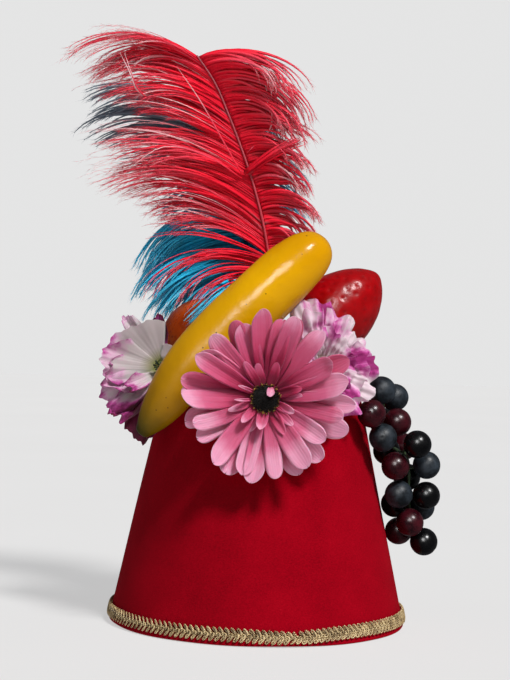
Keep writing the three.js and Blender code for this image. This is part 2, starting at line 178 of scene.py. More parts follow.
def faced(points, seat, facing):
    """A piece's own +Z turned the shortest way to where it faces, and its origin moved to its seat."""
    facing = unit(facing)
    axis = np.cross((0, 0, 1), facing)
    swing = np.array([[0, -axis[2], axis[1]], [axis[2], 0, -axis[0]], [-axis[1], axis[0], 0]])
    turned = np.eye(3) + swing + swing @ swing / (1 + facing[2])
    return points @ turned.T + np.asarray(seat, float)


def outward(points, quads, triangles):
    """The faces of closed shells, all turned round together if the volume they enclose comes out negative."""
    corners = np.concatenate([quads[:, [0, 1, 2]], quads[:, [0, 2, 3]], triangles])
    a, b, c = np.moveaxis(points[corners] - points.mean(axis=0), 1, 0)
    if np.sum(a * np.cross(b, c)) < 0:
        quads, triangles = quads[:, ::-1], triangles[:, ::-1]
    return quads, triangles


def shell(points, flat=False, **marks):
    """Closed faces on a stack of equal grids, points[grid, row, column, xyz]. The last column joins the
    first. An end row is closed by a fan to its own middle, or in a flat shell by strips between the two
    sides that face each other. Marks are numbers for each point, kept as attributes."""
    points = np.asarray(points, float)
    points = points.reshape((-1,) + points.shape[-3:])
    grids, rows, columns = points.shape[:3]
    marks = {name: np.broadcast_to(mark, points.shape[:3]) for name, mark in marks.items()}
    here = np.arange(grids * rows * columns).reshape(grids, rows, columns)
    after = np.roll(here, -1, axis=2)
    quads = [np.stack([here[:, :-1], after[:, :-1], after[:, 1:], here[:, 1:]], axis=-1).reshape(-1, 4)]
    places = [points.reshape(-1, 3)]
    values = {name: [mark.reshape(-1)] for name, mark in marks.items()}
    first, last = here[:, 0], here[:, -1]
    if flat:
        j = np.arange(columns // 2)
        across = -np.arange(columns // 2 + 1) % columns
        strip = np.stack([j + 1, j, across[j], across[j + 1]], axis=-1)
        quads.append(first[:, strip[1:-1]].reshape(-1, 4))
        quads.append(last[:, strip[1:-1, ::-1]].reshape(-1, 4))
        ends = np.array([strip[0, [0, 1, 3]], strip[-1, [0, 1, 2]]])
        triangles = np.concatenate([first[:, ends].reshape(-1, 3), last[:, ends[:, ::-1]].reshape(-1, 3)])
    else:
        middle = grids * rows * columns + np.arange(2 * grids).reshape(2, grids, 1) + np.zeros(columns, int)
        fans = [[after[:, 0], first, middle[0]], [last, after[:, -1], middle[1]]]
        triangles = np.concatenate([np.stack(fan, axis=-1).reshape(-1, 3) for fan in fans])
        places += [points[:, 0].mean(axis=1), points[:, -1].mean(axis=1)]
        for name, mark in marks.items():
            values[name] += [mark[:, 0].mean(axis=1), mark[:, -1].mean(axis=1)]
    places, quads = np.concatenate(places), np.concatenate(quads)
    values = {name: np.concatenate(value) for name, value in values.items()}
    return places, *outward(places, quads, triangles), values


def wound(rings, run):
    """A shell with marks for what is wound on it: the run along it in millimetres, and the share of a
    turn."""
    return shell(rings, along=run[..., None], around=turns(rings.shape[-2]) / FULL_TURN)


def spikes(foot, tip, width, **marks):
    """Thin closed spikes from foot points to tips: four faces each, on a foot that is a triangle across
    it."""
    ASKEW = (0.31, 0.85, 0.42)
    ahead = unit(tip - foot)
    side = unit(np.cross(ahead, ASKEW))
    rise = np.cross(ahead, side)
    width = np.broadcast_to(width, len(foot))[:, None]
    corners = [
        foot + width * side,
        foot + width * (0.87 * rise - 0.5 * side),
        foot - width * (0.87 * rise + 0.5 * side),
    ]
    points = np.stack([*corners, tip], axis=1).reshape(-1, 3)
    faces = np.array([[0, 2, 1], [0, 1, 3], [1, 2, 3], [2, 0, 3]])
    triangles = (4 * np.arange(len(foot))[:, None, None] + faces).reshape(-1, 3)
    values = {name: np.repeat(np.broadcast_to(mark, len(foot)), 4) for name, mark in marks.items()}
    return points, *outward(points, np.zeros((0, 4), int), triangles), values


def put(name, data):
    """An object at the origin for a mesh, a lamp or a camera."""
    made = bpy.data.objects.new(name, data)
    bpy.context.scene.collection.objects.link(made)
    return made


def piece(name, parts, finish, nodes):
    """One object made of closed parts, joined as arrays. It rides on the hat, stands for the named nodes of
    the model and takes the finish it is given."""
    starts = np.cumsum([0] + [len(part[0]) for part in parts])
    points = np.concatenate([part[0] for part in parts]) * MM
    quads = np.concatenate([part[1] + start for part, start in zip(parts, starts)])
    triangles = np.concatenate([part[2] + start for part, start in zip(parts, starts)])
    corners = np.concatenate([quads.ravel(), triangles.ravel()])
    loops = np.concatenate([4 * np.arange(len(quads)), 4 * len(quads) + 3 * np.arange(len(triangles))])
    mesh = bpy.data.meshes.new(name)
    mesh.vertices.add(len(points))
    mesh.vertices.foreach_set("co", points.ravel().astype(np.float32))
    mesh.loops.add(len(corners))
    mesh.loops.foreach_set("vertex_index", corners.astype(np.int32))
    mesh.polygons.add(len(loops))
    mesh.polygons.foreach_set("loop_start", loops.astype(np.int32))
    mesh.polygons.foreach_set("use_smooth", np.full(len(loops), True))
    for mark in parts[0][3]:
        attribute = mesh.attributes.new(mark, "FLOAT", "POINT")
        values = np.concatenate([part[3][mark] for part in parts])
        attribute.data.foreach_set("value", values.astype(np.float32))
    mesh.update(calc_edges=True)
    mesh.validate()
    mesh.materials.append(finish)
    made = put(name, mesh)
    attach(made, "root")
    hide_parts(*nodes)


# Finishes


def linear(colour):
    """An sRGB hex colour as linear red, green, blue and 1."""
    shares = np.array([int(colour[i : i + 2], 16) for i in (1, 3, 5)]) / 255
    toned = np.where(shares <= 0.04045, shares / 12.92, ((shares + 0.055) / 1.055) ** 2.4)
    return (*toned.tolist(), 1.0)


def fill(owner, node, inputs):
    """Gives a node its inputs, by name or in their order. Each is a number, a hex colour, an output to link
    from, "Object" for the place on the piece, or the name of one of the piece's marks."""
    if not isinstance(inputs, dict):
        inputs = dict(zip([i for i, socket in enumerate(node.inputs) if socket.enabled], inputs))
    for name, value in inputs.items():
        if value == "Object":
            value = add(owner, "TexCoord", give="Object")
        elif isinstance(value, str) and not value.startswith("#"):
            value = add(owner, "Attribute", give="Fac", attribute_name=value)
        if isinstance(value, bpy.types.NodeSocket):
            owner.node_tree.links.new(value, node.inputs[name])
        else:
            node.inputs[name].default_value = linear(value) if isinstance(value, str) else value


def add(owner, kind, inputs=(), give=None, stops=(), **settings):
    """Adds one node to a material or the world, with its settings, inputs and a ramp's stops, and gives its
    named output or else its first."""
    made = owner.node_tree.nodes.new("ShaderNode" + kind)
    for name, value in settings.items():
        setattr(made, name, value)
    fill(owner, made, inputs)
    for i, (position, colour) in enumerate(stops):
        elements = made.color_ramp.elements
        element = elements[i] if i < len(elements) else elements.new(position)
        element.position, element.color = position, linear(colour)
    return made.outputs[give] if give else next(output for output in made.outputs if output.enabled)


def fresh(name):
    """A new material."""
    material = bpy.data.materials.new(name)
    material.use_nodes = True
    return material


def finished(material, inputs):
    """The material, once its shader has its inputs."""
    fill(material, material.node_tree.nodes["Principled BSDF"], inputs)
    return material


def wool_felt():
    # Wool felt, fulled and blocked: matt, a cloudy brushed nap, fibres that catch light at grazing angles
    felt = fresh("Red wool felt")
    nap = add(felt, "TexNoise", {"Vector": "Object", "Scale": 1 / (24 * MM), "Detail": 3.0})
    # Fibres of 0.02 mm are far too fine to show, so they are drawn as flecks of about 1.2 mm
    brushed = add(felt, "Mapping", {"Vector": "Object", "Scale": (1.0, 1.0, 1.8)})
    fibre = add(felt, "TexNoise", {
        "Vector": brushed, "Scale": 1 / (1.2 * MM), "Detail": 4.0, "Roughness": 0.75,
    })
    share = add(felt, "Math", (nap, 0.3), operation="MULTIPLY")
    tone = add(felt, "Math", (fibre, 0.7, share), operation="MULTIPLY_ADD")
    red = add(felt, "ValToRGB", (tone,), stops=(
        (0.3, "#74000d"), (0.5, "#8e0012"), (0.66, "#9e0317"), (0.74, "#b42836"),
    ))
    return finished(felt, {
        "Base Color": red, "Roughness": 1.0, "Specular IOR Level": 0.03,
        "Sheen Weight": 0.06, "Sheen Roughness": 0.5, "Sheen Tint": "#c03040",
        "Normal": add(felt, "Bump", {"Height": fibre, "Strength": 0.5, "Distance": 0.3 * MM}),
    })


def gimp_cord():
    # Gimp cord, rayon spun round a core: a soft gloss, and a spiral of threads that shows as slanting stripes
    cord = fresh("Gold gimp cord")
    # One thread every 0.9 mm along the cord, and one turn round it
    laid = add(cord, "Math", ("along", 1 / 0.9, "around"), operation="MULTIPLY_ADD")
    wave = add(cord, "Math", (laid, 0.5), operation="PINGPONG")
    worn = add(cord, "TexNoise", {"Vector": "Object", "Scale": 1 / (5 * MM), "Detail": 3.0})
    # The stripes are painted light: lighter on each thread's crest as painted highlight, darker in the
    # grooves between as painted shade
    tone = add(cord, "Math", (worn, 0.7, wave), operation="MULTIPLY_ADD")
    gold_and_painted_light = add(cord, "ValToRGB", (tone,), stops=(
        (0.2, "#1e1208"), (0.44, "#5e4626"), (0.64, "#aa8c5c"), (0.84, "#ecd6a4"),
    ))
    return finished(cord, {
        "Base Color": gold_and_painted_light, "Roughness": 0.5, "Specular IOR Level": 0.4,
        "Sheen Weight": 0.15, "Sheen Tint": "#e8d4a8",
        "Normal": add(cord, "Bump", {"Height": wave, "Strength": 0.6, "Distance": 0.14 * MM}),
    })


def banana_lacquer():
    # Lacquer sprayed on moulded foam: a clear gloss, worn dull towards the stalk, over yellow that runs to
    # green there and darkens towards that end as painted shade, with small specks
    foam = fresh("Yellow lacquer on moulded foam")
    cloud = add(foam, "TexNoise", {"Vector": "Object", "Scale": 1 / (14 * MM), "Detail": 4.0})
    ripeness_and_shade = add(foam, "Math", (cloud, 0.1, "along"), operation="MULTIPLY_ADD")
    # Towards the stalk end the yellow darkens through ochre: partly its green, partly painted shade
    skin = add(foam, "ValToRGB", (ripeness_and_shade,), stops=(
        (0.06, "#3a3402"), (0.1, "#6a5400"), (0.2, "#a07200"),
        (0.42, "#cc9400"), (0.75, "#e4a800"), (0.97, "#d09200"),
    ))
    # Specks about 0.9 mm across and some 12 mm apart
    dots = add(foam, "TexVoronoi", {"Vector": "Object", "Scale": 1 / (6 * MM), "Randomness": 1.0})
    speck = add(foam, "Math", (dots, 0.08), operation="LESS_THAN")
    rare = add(foam, "Math", (cloud, 0.44), operation="GREATER_THAN")
    spot = add(foam, "Math", (speck, rare), operation="MULTIPLY")
    dent = add(foam, "TexNoise", {"Vector": "Object", "Scale": 1 / (6 * MM), "Detail": 3.0})
    return finished(foam, {
        "Base Color": add(foam, "Mix", (spot, skin, "#5a3a08"), data_type="RGBA"),
        "Roughness": add(foam, "MapRange", ("along", 0.4, 0.75, 0.36, 0.19)),
        "Specular IOR Level": 0.2,
        "Normal": add(foam, "Bump", {"Height": dent, "Strength": 0.4, "Distance": 0.9 * MM}),
    })


def orange_lacquer():
    # Foam moulded on a real fruit's skin: fine round pores under a thin satin lacquer, with painted shade in
    # each pore
    foam = fresh("Orange lacquer on pored foam")
    cloud = add(foam, "TexNoise", {"Vector": "Object", "Scale": 1 / (16 * MM), "Detail": 3.0})
    peel = add(foam, "ValToRGB", (cloud,), stops=((0.3, "#8c2c00"), (0.55, "#a83e02"), (0.75, "#bc5006")))
    pore = add(foam, "TexVoronoi", {"Vector": "Object", "Scale": 1 / (2.4 * MM), "Randomness": 0.9})
    # The pores' depth also darkens their hollows: painted shade
    depth = add(foam, "MapRange", {"Value": pore, "From Max": 0.45})
    return finished(foam, {
        "Base Color": add(foam, "Mix", (depth, "#8a2c00", peel), data_type="RGBA"),
        "Roughness": 0.4, "Specular IOR Level": 0.14,
        "Normal": add(foam, "Bump", {"Height": depth, "Strength": 0.5, "Distance": 0.4 * MM}),
    })


def strawberry_lacquer():
    # Thick gloss lacquer on moulded foam: deep red, with painted shade in the seed pits
    foam = fresh("Red lacquer on pitted foam")
    cloud = add(foam, "TexNoise", {"Vector": "Object", "Scale": 1 / (9 * MM), "Detail": 3.0})
    red = add(foam, "ValToRGB", (cloud,), stops=((0.3, "#8c0003"), (0.7, "#a60008")))
    pit_shade = add(foam, "Math", ("pit", 0.35), operation="MULTIPLY")
    return finished(foam, {
        "Base Color": add(foam, "Mix", (pit_shade, red, "#6a0208"), data_type="RGBA"),
        "Roughness": 0.28, "Specular IOR Level": 0.24,
        "Normal": add(foam, "Bump", {"Height": cloud, "Strength": 0.6, "Distance": 0.9 * MM}),
    })


def pink_petal_cloth():
    # Polyester petal cloth, dip-dyed and heat-pressed: deep rose at the root, pale tips, pressed veins and a
    # silky sheen
    cloth = fresh("Pink pressed petal cloth")
    cloud = add(cloth, "TexNoise", {"Vector": "Object", "Scale": 1 / (9 * MM), "Detail": 3.0})
    dip = add(cloth, "Math", (cloud, 0.2, "along"), operation="MULTIPLY_ADD")
    # The tone mark carries painted light and shade too: paler on the lower petals, deeper on the upper ones
    dyed = add(cloth, "Math", (dip, "tone"), operation="ADD")
    dye_and_painted_light = add(cloth, "ValToRGB", (dyed,), stops=(
        (0.08, "#70082a"), (0.25, "#90163c"), (0.47, "#b64064"), (0.8, "#c66082"), (1.0, "#de96b0"),
    ))
    # Pressed veins about 1.6 mm apart
    vein = add(cloth, "Math", ("across", 24.0), operation="MULTIPLY")
    ridge = add(cloth, "Math", (vein,), operation="SINE")
    line = add(cloth, "MapRange", (ridge, 0.4, 1.0, 0.0, 0.08))
    return finished(cloth, {
        "Base Color": add(cloth, "Mix", (line, dye_and_painted_light, "#b03a64"), data_type="RGBA"),
        "Roughness": 0.75, "Specular IOR Level": 0.15,
        "Sheen Weight": 0.1, "Sheen Roughness": 0.4, "Sheen Tint": "#f6c8d6",
        "Subsurface Weight": 0.6, "Subsurface Radius": (1.0, 0.55, 0.65), "Subsurface Scale": 1.5 * MM,
        "Normal": add(cloth, "Bump", {"Height": ridge, "Strength": 0.25, "Distance": 0.15 * MM}),
    })


def white_petal_cloth(name, edge, patch, dye_from, dyes_and_shade):
    # White petal cloth with brushed-on dye: a yellow-green throat, chalk white, then magenta that feathers in
    # from the frill by the weight "edge" and lies in blots about 13 mm wide by the weight "patch"
    cloth = fresh(name)
    cloud = add(cloth, "TexNoise", {
        "Vector": "Object", "Scale": 1 / (13 * MM), "Detail": 4.0, "Roughness": 0.6,
    })
    brushed = add(cloth, "CombineXYZ", ("across", "tone"))
    streak = add(cloth, "TexNoise", {"Vector": brushed, "Scale": 9.0, "Detail": 2.0})
    frill = add(cloth, "Math", ("along", edge, "tone"), operation="MULTIPLY_ADD")
    blot = add(cloth, "Math", (cloud, patch, frill), operation="MULTIPLY_ADD")
    reach = add(cloth, "Math", (streak, 0.35, blot), operation="MULTIPLY_ADD")
    share = add(cloth, "MapRange", (reach, dye_from, dye_from + 0.75))
    # The stops may carry painted shade as well: a greyed white and a deepest maroon
    dye_and_painted_light = add(cloth, "ValToRGB", (share,), stops=zip((0.0, 0.35, 0.6, 0.8, 1.0), dyes_and_shade))
    throat = add(cloth, "ValToRGB", ("along",), stops=((0.02, "#a8b45a"), (0.3, "#ffffff")))
    # Veins pressed about 2 mm apart
    vein = add(cloth, "Math", ("across", 34.0), operation="MULTIPLY")
    ridge = add(cloth, "Math", (vein,), operation="SINE")
    return finished(cloth, {
        "Base Color": add(cloth, "Mix", (1.0, dye_and_painted_light, throat), data_type="RGBA", blend_type="MULTIPLY"),
        "Roughness": 0.8, "Specular IOR Level": 0.15, "Sheen Weight": 0.1, "Sheen Roughness": 0.4,
        "Subsurface Weight": 0.5, "Subsurface Radius": (1.0, 0.8, 0.9), "Subsurface Scale": 1.5 * MM,
        "Normal": add(cloth, "Bump", {"Height": ridge, "Strength": 0.2, "Distance": 0.15 * MM}),
    })


def eye_floss():
    # Cut rayon floss: near-black brown tufts, the outer ones tipped with ochre pollen
    floss = fresh("Brown rayon floss")
    brown = add(floss, "ValToRGB", ("pollen",), stops=(
        (0.0, "#080403"), (0.4, "#1c0f07"), (0.7, "#7a5c1c"), (1.0, "#c4a244"),
    ))
    tuft = add(floss, "TexNoise", {"Vector": "Object", "Scale": 1 / (1.2 * MM), "Detail": 2.0})
    return finished(floss, {
        "Base Color": brown, "Roughness": 0.7, "Specular IOR Level": 0.2,
        "Sheen Weight": 0.1, "Sheen Tint": "#7a5a34",
        "Normal": add(floss, "Bump", {"Height": tuft, "Strength": 0.4, "Distance": 0.3 * MM}),
    })


def stem_tape():
    # Waxed crêpe tape wound on wire: dull green, with the lapped edge of each turn as a low spiral step
    wax = fresh("Green waxed stem tape")
    # One lap every 3.5 mm
    laid = add(wax, "Math", ("along", 1 / 3.5, "around"), operation="MULTIPLY_ADD")
    lap = add(wax, "Math", (laid,), operation="FRACT")
    crease = add(wax, "TexNoise", {"Vector": "Object", "Scale": 1 / (2 * MM), "Detail": 3.0})
    tone = add(wax, "Math", (lap, 0.3, crease), operation="MULTIPLY_ADD")
    return finished(wax, {
        "Base Color": add(wax, "ValToRGB", (tone,), stops=(
            (0.3, "#10190c"), (0.6, "#1a2a12"), (0.9, "#2c421e"),
        )),
        "Roughness": 0.62, "Specular IOR Level": 0.35,
        "Normal": add(wax, "Bump", {"Height": lap, "Strength": 0.4, "Distance": 0.2 * MM}),
    })


def grape_skin(name, dark, pale, roughness, gloss, haze):
    # Blown soft plastic, dipped: gloss skins mirror the lamp, and the dusted ones have a patchy pale haze
    skin = fresh(name)
    # Haze in patches of about 7 mm, worn through in 1 mm scuffs
    cloud = add(skin, "TexNoise", {
        "Vector": "Object", "Scale": 1 / (7 * MM), "Detail": 4.0, "Roughness": 0.6,
    })
    scuff = add(skin, "TexNoise", {"Vector": "Object", "Scale": 1 / (1.1 * MM), "Detail": 2.0})
    dust = add(skin, "Math", (scuff, 0.3, cloud), operation="MULTIPLY_ADD")
    share = add(skin, "MapRange", (dust, 0.5, 0.85))
    return finished(skin, {
        "Base Color": add(skin, "Mix", (share, dark, pale), data_type="RGBA"),
        "Roughness": add(skin, "MapRange", (share, 0.0, 1.0, roughness, roughness + haze)),
        "Specular IOR Level": gloss,
        "Normal": add(skin, "Bump", {"Height": cloud, "Strength": 0.2, "Distance": 0.5 * MM}),
    })


def ostrich_barb(name, dyes_and_shade, painted_shade_above=None):
    # Dyed ostrich barbs: silky, darker towards the quill as painted shade where the barbs crowd, and paler
    # where loose tips take less dye
    barb = fresh(name)
    reach = add(barb, "Math", ("along", "tone"), operation="ADD")
    colour = add(barb, "ValToRGB", (reach,), stops=zip((0.0, 0.12, 0.4, 0.8, 1.0), dyes_and_shade))
    if painted_shade_above:
        # The upper half of this plume is painted grey as the shade of the red plume in front, setting in over
        # about 40 mm
        height = add(barb, "SeparateXYZ", ("Object",), give="Z")
        share = add(barb, "MapRange", (height, 248 * MM, 288 * MM))
        colour = add(barb, "Mix", (share, colour, painted_shade_above), data_type="RGBA")
    return finished(barb, {"Base Color": colour, "Roughness": 0.55, "Specular IOR Level": 0.12})


# Crown and braid


def felt_crown(finish):
    """A cone with a flat top, hollow: its profile runs from the middle of the ceiling down the inside, round
    the cut edge and up the outside to the middle of the top. The wall wanders by a few tenths, and the cut
    edge rises a little between the places where it rests."""
    SIDES, CUT_ROUND, WANDER, EDGE_LIFT = 216, 1.1, 0.25, 0.6
    wall = FELT * np.hypot(TOP_RADIUS - RIM_RADIUS, CROWN_HEIGHT) / CROWN_HEIGHT
    ceiling = CROWN_HEIGHT - FELT
    inner_round = TOP_EDGE_ROUND - FELT
    shoulder = CROWN_HEIGHT - TOP_EDGE_ROUND
    top_flat = crown_radius(shoulder) - TOP_EDGE_ROUND
    ceiling_flat = crown_radius(shoulder) - wall - inner_round
    quarter = np.linspace(0, np.pi / 2, 8)
    down = quarter[::-1]
    cut = np.linspace(0.15, 0.85, 7) * np.pi
    side = np.linspace(1.2, shoulder - 0.6, 46)
    stretches = [
        # Radii and heights: ceiling, its edge, the inside, the cut edge, the outside, the top's edge, the top
        (np.linspace(1, ceiling_flat - 1, 8), ceiling),
        (ceiling_flat + inner_round * np.cos(down), ceiling - inner_round + inner_round * np.sin(down)),
        (crown_radius(side[::-1]) - wall, side[::-1]),
        (RIM_RADIUS - wall / 2 - wall / 2 * np.cos(cut), CUT_ROUND - CUT_ROUND * np.sin(cut)),
        (crown_radius(side), side),
        (top_flat + TOP_EDGE_ROUND * np.cos(quarter), shoulder + TOP_EDGE_ROUND * np.sin(quarter)),
        (np.linspace(top_flat - 1, 1, 12), CROWN_HEIGHT),
    ]
    profile = np.concatenate([np.stack(np.broadcast_arrays(*stretch)) for stretch in stretches], axis=1)
    rings = spun(*profile, SIDES)
    turn = np.arctan2(rings[..., 0], -rings[..., 1])
    rise = rings[..., 2]
    belly = np.sin(np.pi * rise / CROWN_HEIGHT)
    wander = WANDER * belly * (np.sin(3 * turn + 0.8) + 0.6 * np.sin(5 * turn + rise / 30))
    rings[..., :2] *= (1 + wander / np.maximum(np.hypot(rings[..., 0], rings[..., 1]), 20))[..., None]
    uneven = 0.5 + 0.3 * np.sin(4 * turn + 1) + 0.2 * np.sin(9 * turn)
    rings[..., 2] += EDGE_LIFT * uneven * np.exp(-rise / 4)
    piece("felt_crown", [shell(rings)], finish, ["crown"])


def gimp_braid(finish):
    """Six cords looped back and forth, three above the middle of the band and three below, one inside
    another. A cord goes out to the edge and back as a cosine. Along the band it moves evenly plus a sine,
    so that it runs ahead at the middle and turns back in a small loop at the edge, and it lags behind
    towards the edge. It rises on its way out, to pass over its way in. The band starts and ends at the
    seam, where it dips."""
    BAND_MIDDLE, HALF_BAND, CORD, LIFT = 7.35, 3.75, 0.5, 0.6
    LOOPS, SWING, LAG, CROSS = 160, 1.8, 0.75, 0.8
    STEPS_A_LOOP, SIDES = 12, 5
    SEAM, SEAM_GAP, SEAM_DIP, SEAM_PINCH, SWAY = np.radians(15), 0.0012, 1.6, 0.18, 1.2
    share = np.linspace(SEAM_GAP, 1 - SEAM_GAP, LOOPS * STEPS_A_LOOP)
    turn = SEAM + FULL_TURN * share
    wrapped = (turn + np.pi) % FULL_TURN - np.pi
    dip = SEAM_DIP * bell(wrapped - SEAM, np.radians(14))
    sway = SWAY * np.sin(wrapped - SEAM) * bell(wrapped, np.radians(60)) - dip
    pinch = 1 - SEAM_PINCH * bell(wrapped - SEAM, np.radians(3))
    side = np.repeat([1, -1], 3)[:, None]
    size = np.tile([1, 0.72, 0.42], 2)[:, None]
    phase = FULL_TURN * LOOPS * share + np.pi / 2 * side
    out = (HALF_BAND + CROSS) * size * (0.5 - 0.5 * np.cos(phase))
    height = BAND_MIDDLE + sway + pinch * side * (out - CROSS)
    angle = turn + (SWING * size * np.sin(phase) - LAG * out) / RIM_RADIUS
    reach = crown_radius(height) + GAP + CORD + LIFT + LIFT * np.sin(phase)
    path = np.stack([reach * np.sin(angle), -reach * np.cos(angle), height], axis=-1)
    rings = ringed(path, CORD, SIDES, beside=(0.05, 0.1, 1))
    piece("gimp_braid", [wound(rings, distances(path))], finish, ["braid"])


# Fruit


def banana(finish):
    """Rings along a bowed axis, round at both ends. Five soft ridges run along the skin and fade towards the
    thick end, and low dents slant round it."""
    AXIS_POINTS, RINGS, SIDES = 400, 110, 72
    RIDGES, RIDGE, DENT, SMALL_DENT = 5, 0.028, 0.006, 0.004
    axis = route([
        (-73, -55, 119), (-60, -57.9, 137), (-48, -57.9, 155), (-27, -55, 179),
        (-6, -53, 200), (10, -51, 216), (25, -49, 230), (37, -48, 239),
    ], AXIS_POINTS)
    sections = [
        # share of the way, radius
        (0, 0), (0.004, 3), (0.03, 6), (0.1, 10.5), (0.22, 14.5), (0.38, 17.3),
        (0.55, 18.4), (0.72, 18.4), (0.85, 17.2), (0.93, 14.4), (0.98, 9), (1, 0),
    ]
    along = (0.5 - 0.5 * np.cos(np.linspace(0.03, np.pi - 0.012, RINGS)))[:, None]
    path = blended(along[:, 0], np.linspace(0, 1, AXIS_POINTS), axis)
    turn = turns(SIDES)
    ridge = RIDGE * np.cos(RIDGES * turn + 0.6) * (0.25 + 0.75 * bell(along - 0.1, 0.35))
    dents = DENT * np.sin(3 * turn + 17 * along) + SMALL_DENT * np.sin(7 * turn - 29 * along)
    rings = ringed(path, round_ended(along, sections) * (1 + ridge + dents), SIDES)
    piece("banana_skin", [shell(rings, along=along)], finish, ["banana"])


def orange(finish):
    """A ball flattened to 0.96 of its height, with a dimple at the top and a few low swells in its skin."""
    RADIUS, FLATTEN, SWELL, DIMPLE, DIMPLE_WIDTH = 28.0, 0.96, 0.25, 0.9, 0.22
    RINGS, SIDES = 64, 96
    SEAT = (-37.5, 3, STAND + RADIUS * FLATTEN)
    fall = np.linspace(0.03, np.pi - 0.03, RINGS)
    rings = spun(RADIUS * np.sin(fall), RADIUS * np.cos(fall), SIDES)
    fall = fall[:, None]
    swell = SWELL * np.sin(3 * turns(SIDES) + 2 * fall) * np.sin(fall) - DIMPLE * bell(fall, DIMPLE_WIDTH)
    rings *= (1 + swell / RADIUS)[..., None]
    rings[..., 2] *= FLATTEN
    piece("orange_peel", [shell(rings + SEAT)], finish, ["orange"])


def strawberry(finish, stem_finish):
    """A blunt cone of turned sections, pitted where the seeds sit: each point sinks by a bell of its distance
    to the nearest pit. The pits climb the fruit in a sunflower spiral, and the fruit leans to the right."""
    LENGTH, LEAN, SEAT = 56, np.radians(46), (31, -5, 183)
    PITS, PIT_DEPTH, PIT_WIDTH, PIT_SHADE_WIDTH = 170, 0.6, 1.5, 1.3
    RINGS, SIDES = 120, 160
    sections = [
        # height, radius
        (0, 0), (1, 11), (5, 19.5), (12, 24), (21, 24.4),
        (31, 22), (41, 17.5), (49, 11.5), (54, 5.5), (LENGTH, 0),
    ]
    rng = np.random.default_rng(41)
    height = LENGTH * (0.5 - 0.5 * np.cos(np.linspace(0.04, np.pi - 0.04, RINGS)))
    radius = round_ended(height, sections)
    rings = spun(radius, height, SIDES)
    area = np.cumsum(radius)
    seat = np.interp((np.arange(PITS) + 0.5) / PITS, area / area[-1], height) + rng.normal(0, 0.6, PITS)
    bearing = np.arange(PITS) * GOLDEN_TURN + rng.normal(0, 0.05, PITS)
    pits = bearings(bearing) * np.interp(seat, height, radius)[:, None]
    pits[:, 2] = seat
    gap = np.linalg.norm(rings[:, :, None] - pits, axis=-1)
    depth = PIT_DEPTH * np.max(bell(gap, PIT_WIDTH) * rng.uniform(0.4, 1, PITS), axis=2)
    turn = turns(SIDES)
    uneven = 0.02 * np.sin(2 * turn + 0.5) + 0.012 * np.sin(3 * turn - height[:, None] / 9)
    rings[..., :2] *= (1 + uneven - depth / np.maximum(radius, 6)[:, None])[..., None]
    x, y, z = np.moveaxis(rings, -1, 0)
    leant = [x * np.cos(LEAN) + z * np.sin(LEAN), y, z * np.cos(LEAN) - x * np.sin(LEAN)]
    rings = np.stack(leant, axis=-1) + SEAT
    # Where the pits are, for the painted shade in them
    pit = bell(gap.min(axis=2), PIT_SHADE_WIDTH)
    piece("strawberry_skin", [shell(rings, pit=pit)], finish, ["strawberry"])
    pick = [(24, -5, STAND), (25, -5, 168), (30.475, -5, 182.475)]
    taped_wire("strawberry_wire", pick, "strawberry_pick", stem_finish)


# Flowers


def taped_wire(name, points, node, finish):
    """A round wire of even radius along the smooth line through a few points."""
    STEPS, SIDES = 24, 10
    path = route(points, STEPS)
    piece(name, [wound(ringed(path, WIRE, SIDES), distances(path))], finish, [node])


def bloom_stem(name, bloom, foot, finish):
    """A wire from a point on the crown's top to the back of a bloom's hub."""
    seat, facing = np.array(bloom[0], float), unit(bloom[1])
    head = seat - HUB_BACK * facing
    foot = np.array(foot, float)
    taped_wire(f"{name}_wire", [foot, foot + (0, 0, 3), head - 5 * facing, head], f"{name}_stem", finish)


def petal_grid(rows, columns):
    """Places on a petal: along from the hub at 0 to the tip at 1, closer at the tip; across from -1 to 1
    on the upper face and back on the lower one; and the face, 1 above, -1 below and 0 on the edge
    between."""
    along = 1 - (1 - np.linspace(0, 1, rows)) ** 1.6
    across = np.linspace(-1, 1, columns)
    face = np.ones(columns)
    face[[0, -1]] = 0
    return along[:, None], np.append(across, across[-2:0:-1]), np.append(face, -face[-2:0:-1])


def petals(grid, turn, length, rise, curl, hub, width, tip, relief):
    """Thin closed petals round a hub, in their bloom's own frame. A petal's middle line leaves the
    bloom's plane at "rise" degrees and has turned by "curl" at each place, so its run and height are the
    running sums of that angle's cosine and sine. "tip" scales its length across the petal, "width" is the
    way to the side, and "relief" lifts it along its own normal."""
    along, _, face = grid
    angle = np.radians(rise + curl)
    run, height = run_and_height(angle, np.diff(along, axis=0, prepend=0))
    lift = relief + face * CLOTH / 2 * (1 - 0.6 * along**6)
    out = hub + length * tip * run - lift * np.sin(angle)
    up = length * tip * height + lift * np.cos(angle)
    bearing = np.radians(turn)
    x = out * np.cos(bearing) - width * np.sin(bearing)
    y = out * np.sin(bearing) + width * np.cos(bearing)
    return np.stack(np.broadcast_arrays(x, y, up), axis=-1)


def hub_disc(radius, level):
    """The uncut middle of a petal layer: a thin disc with a rounded rim."""
    HALF_THICK, SIDES = 0.25, 40
    edge = np.array([0.6, 0.1, 0, 0.1, 0.6])
    height = HALF_THICK * np.array([-1, -1, -0.6, 0, 0.6, 1, 1])
    return spun(np.concatenate([[1], radius - edge, [1]]), level * LAYER_STEP + height, SIDES)


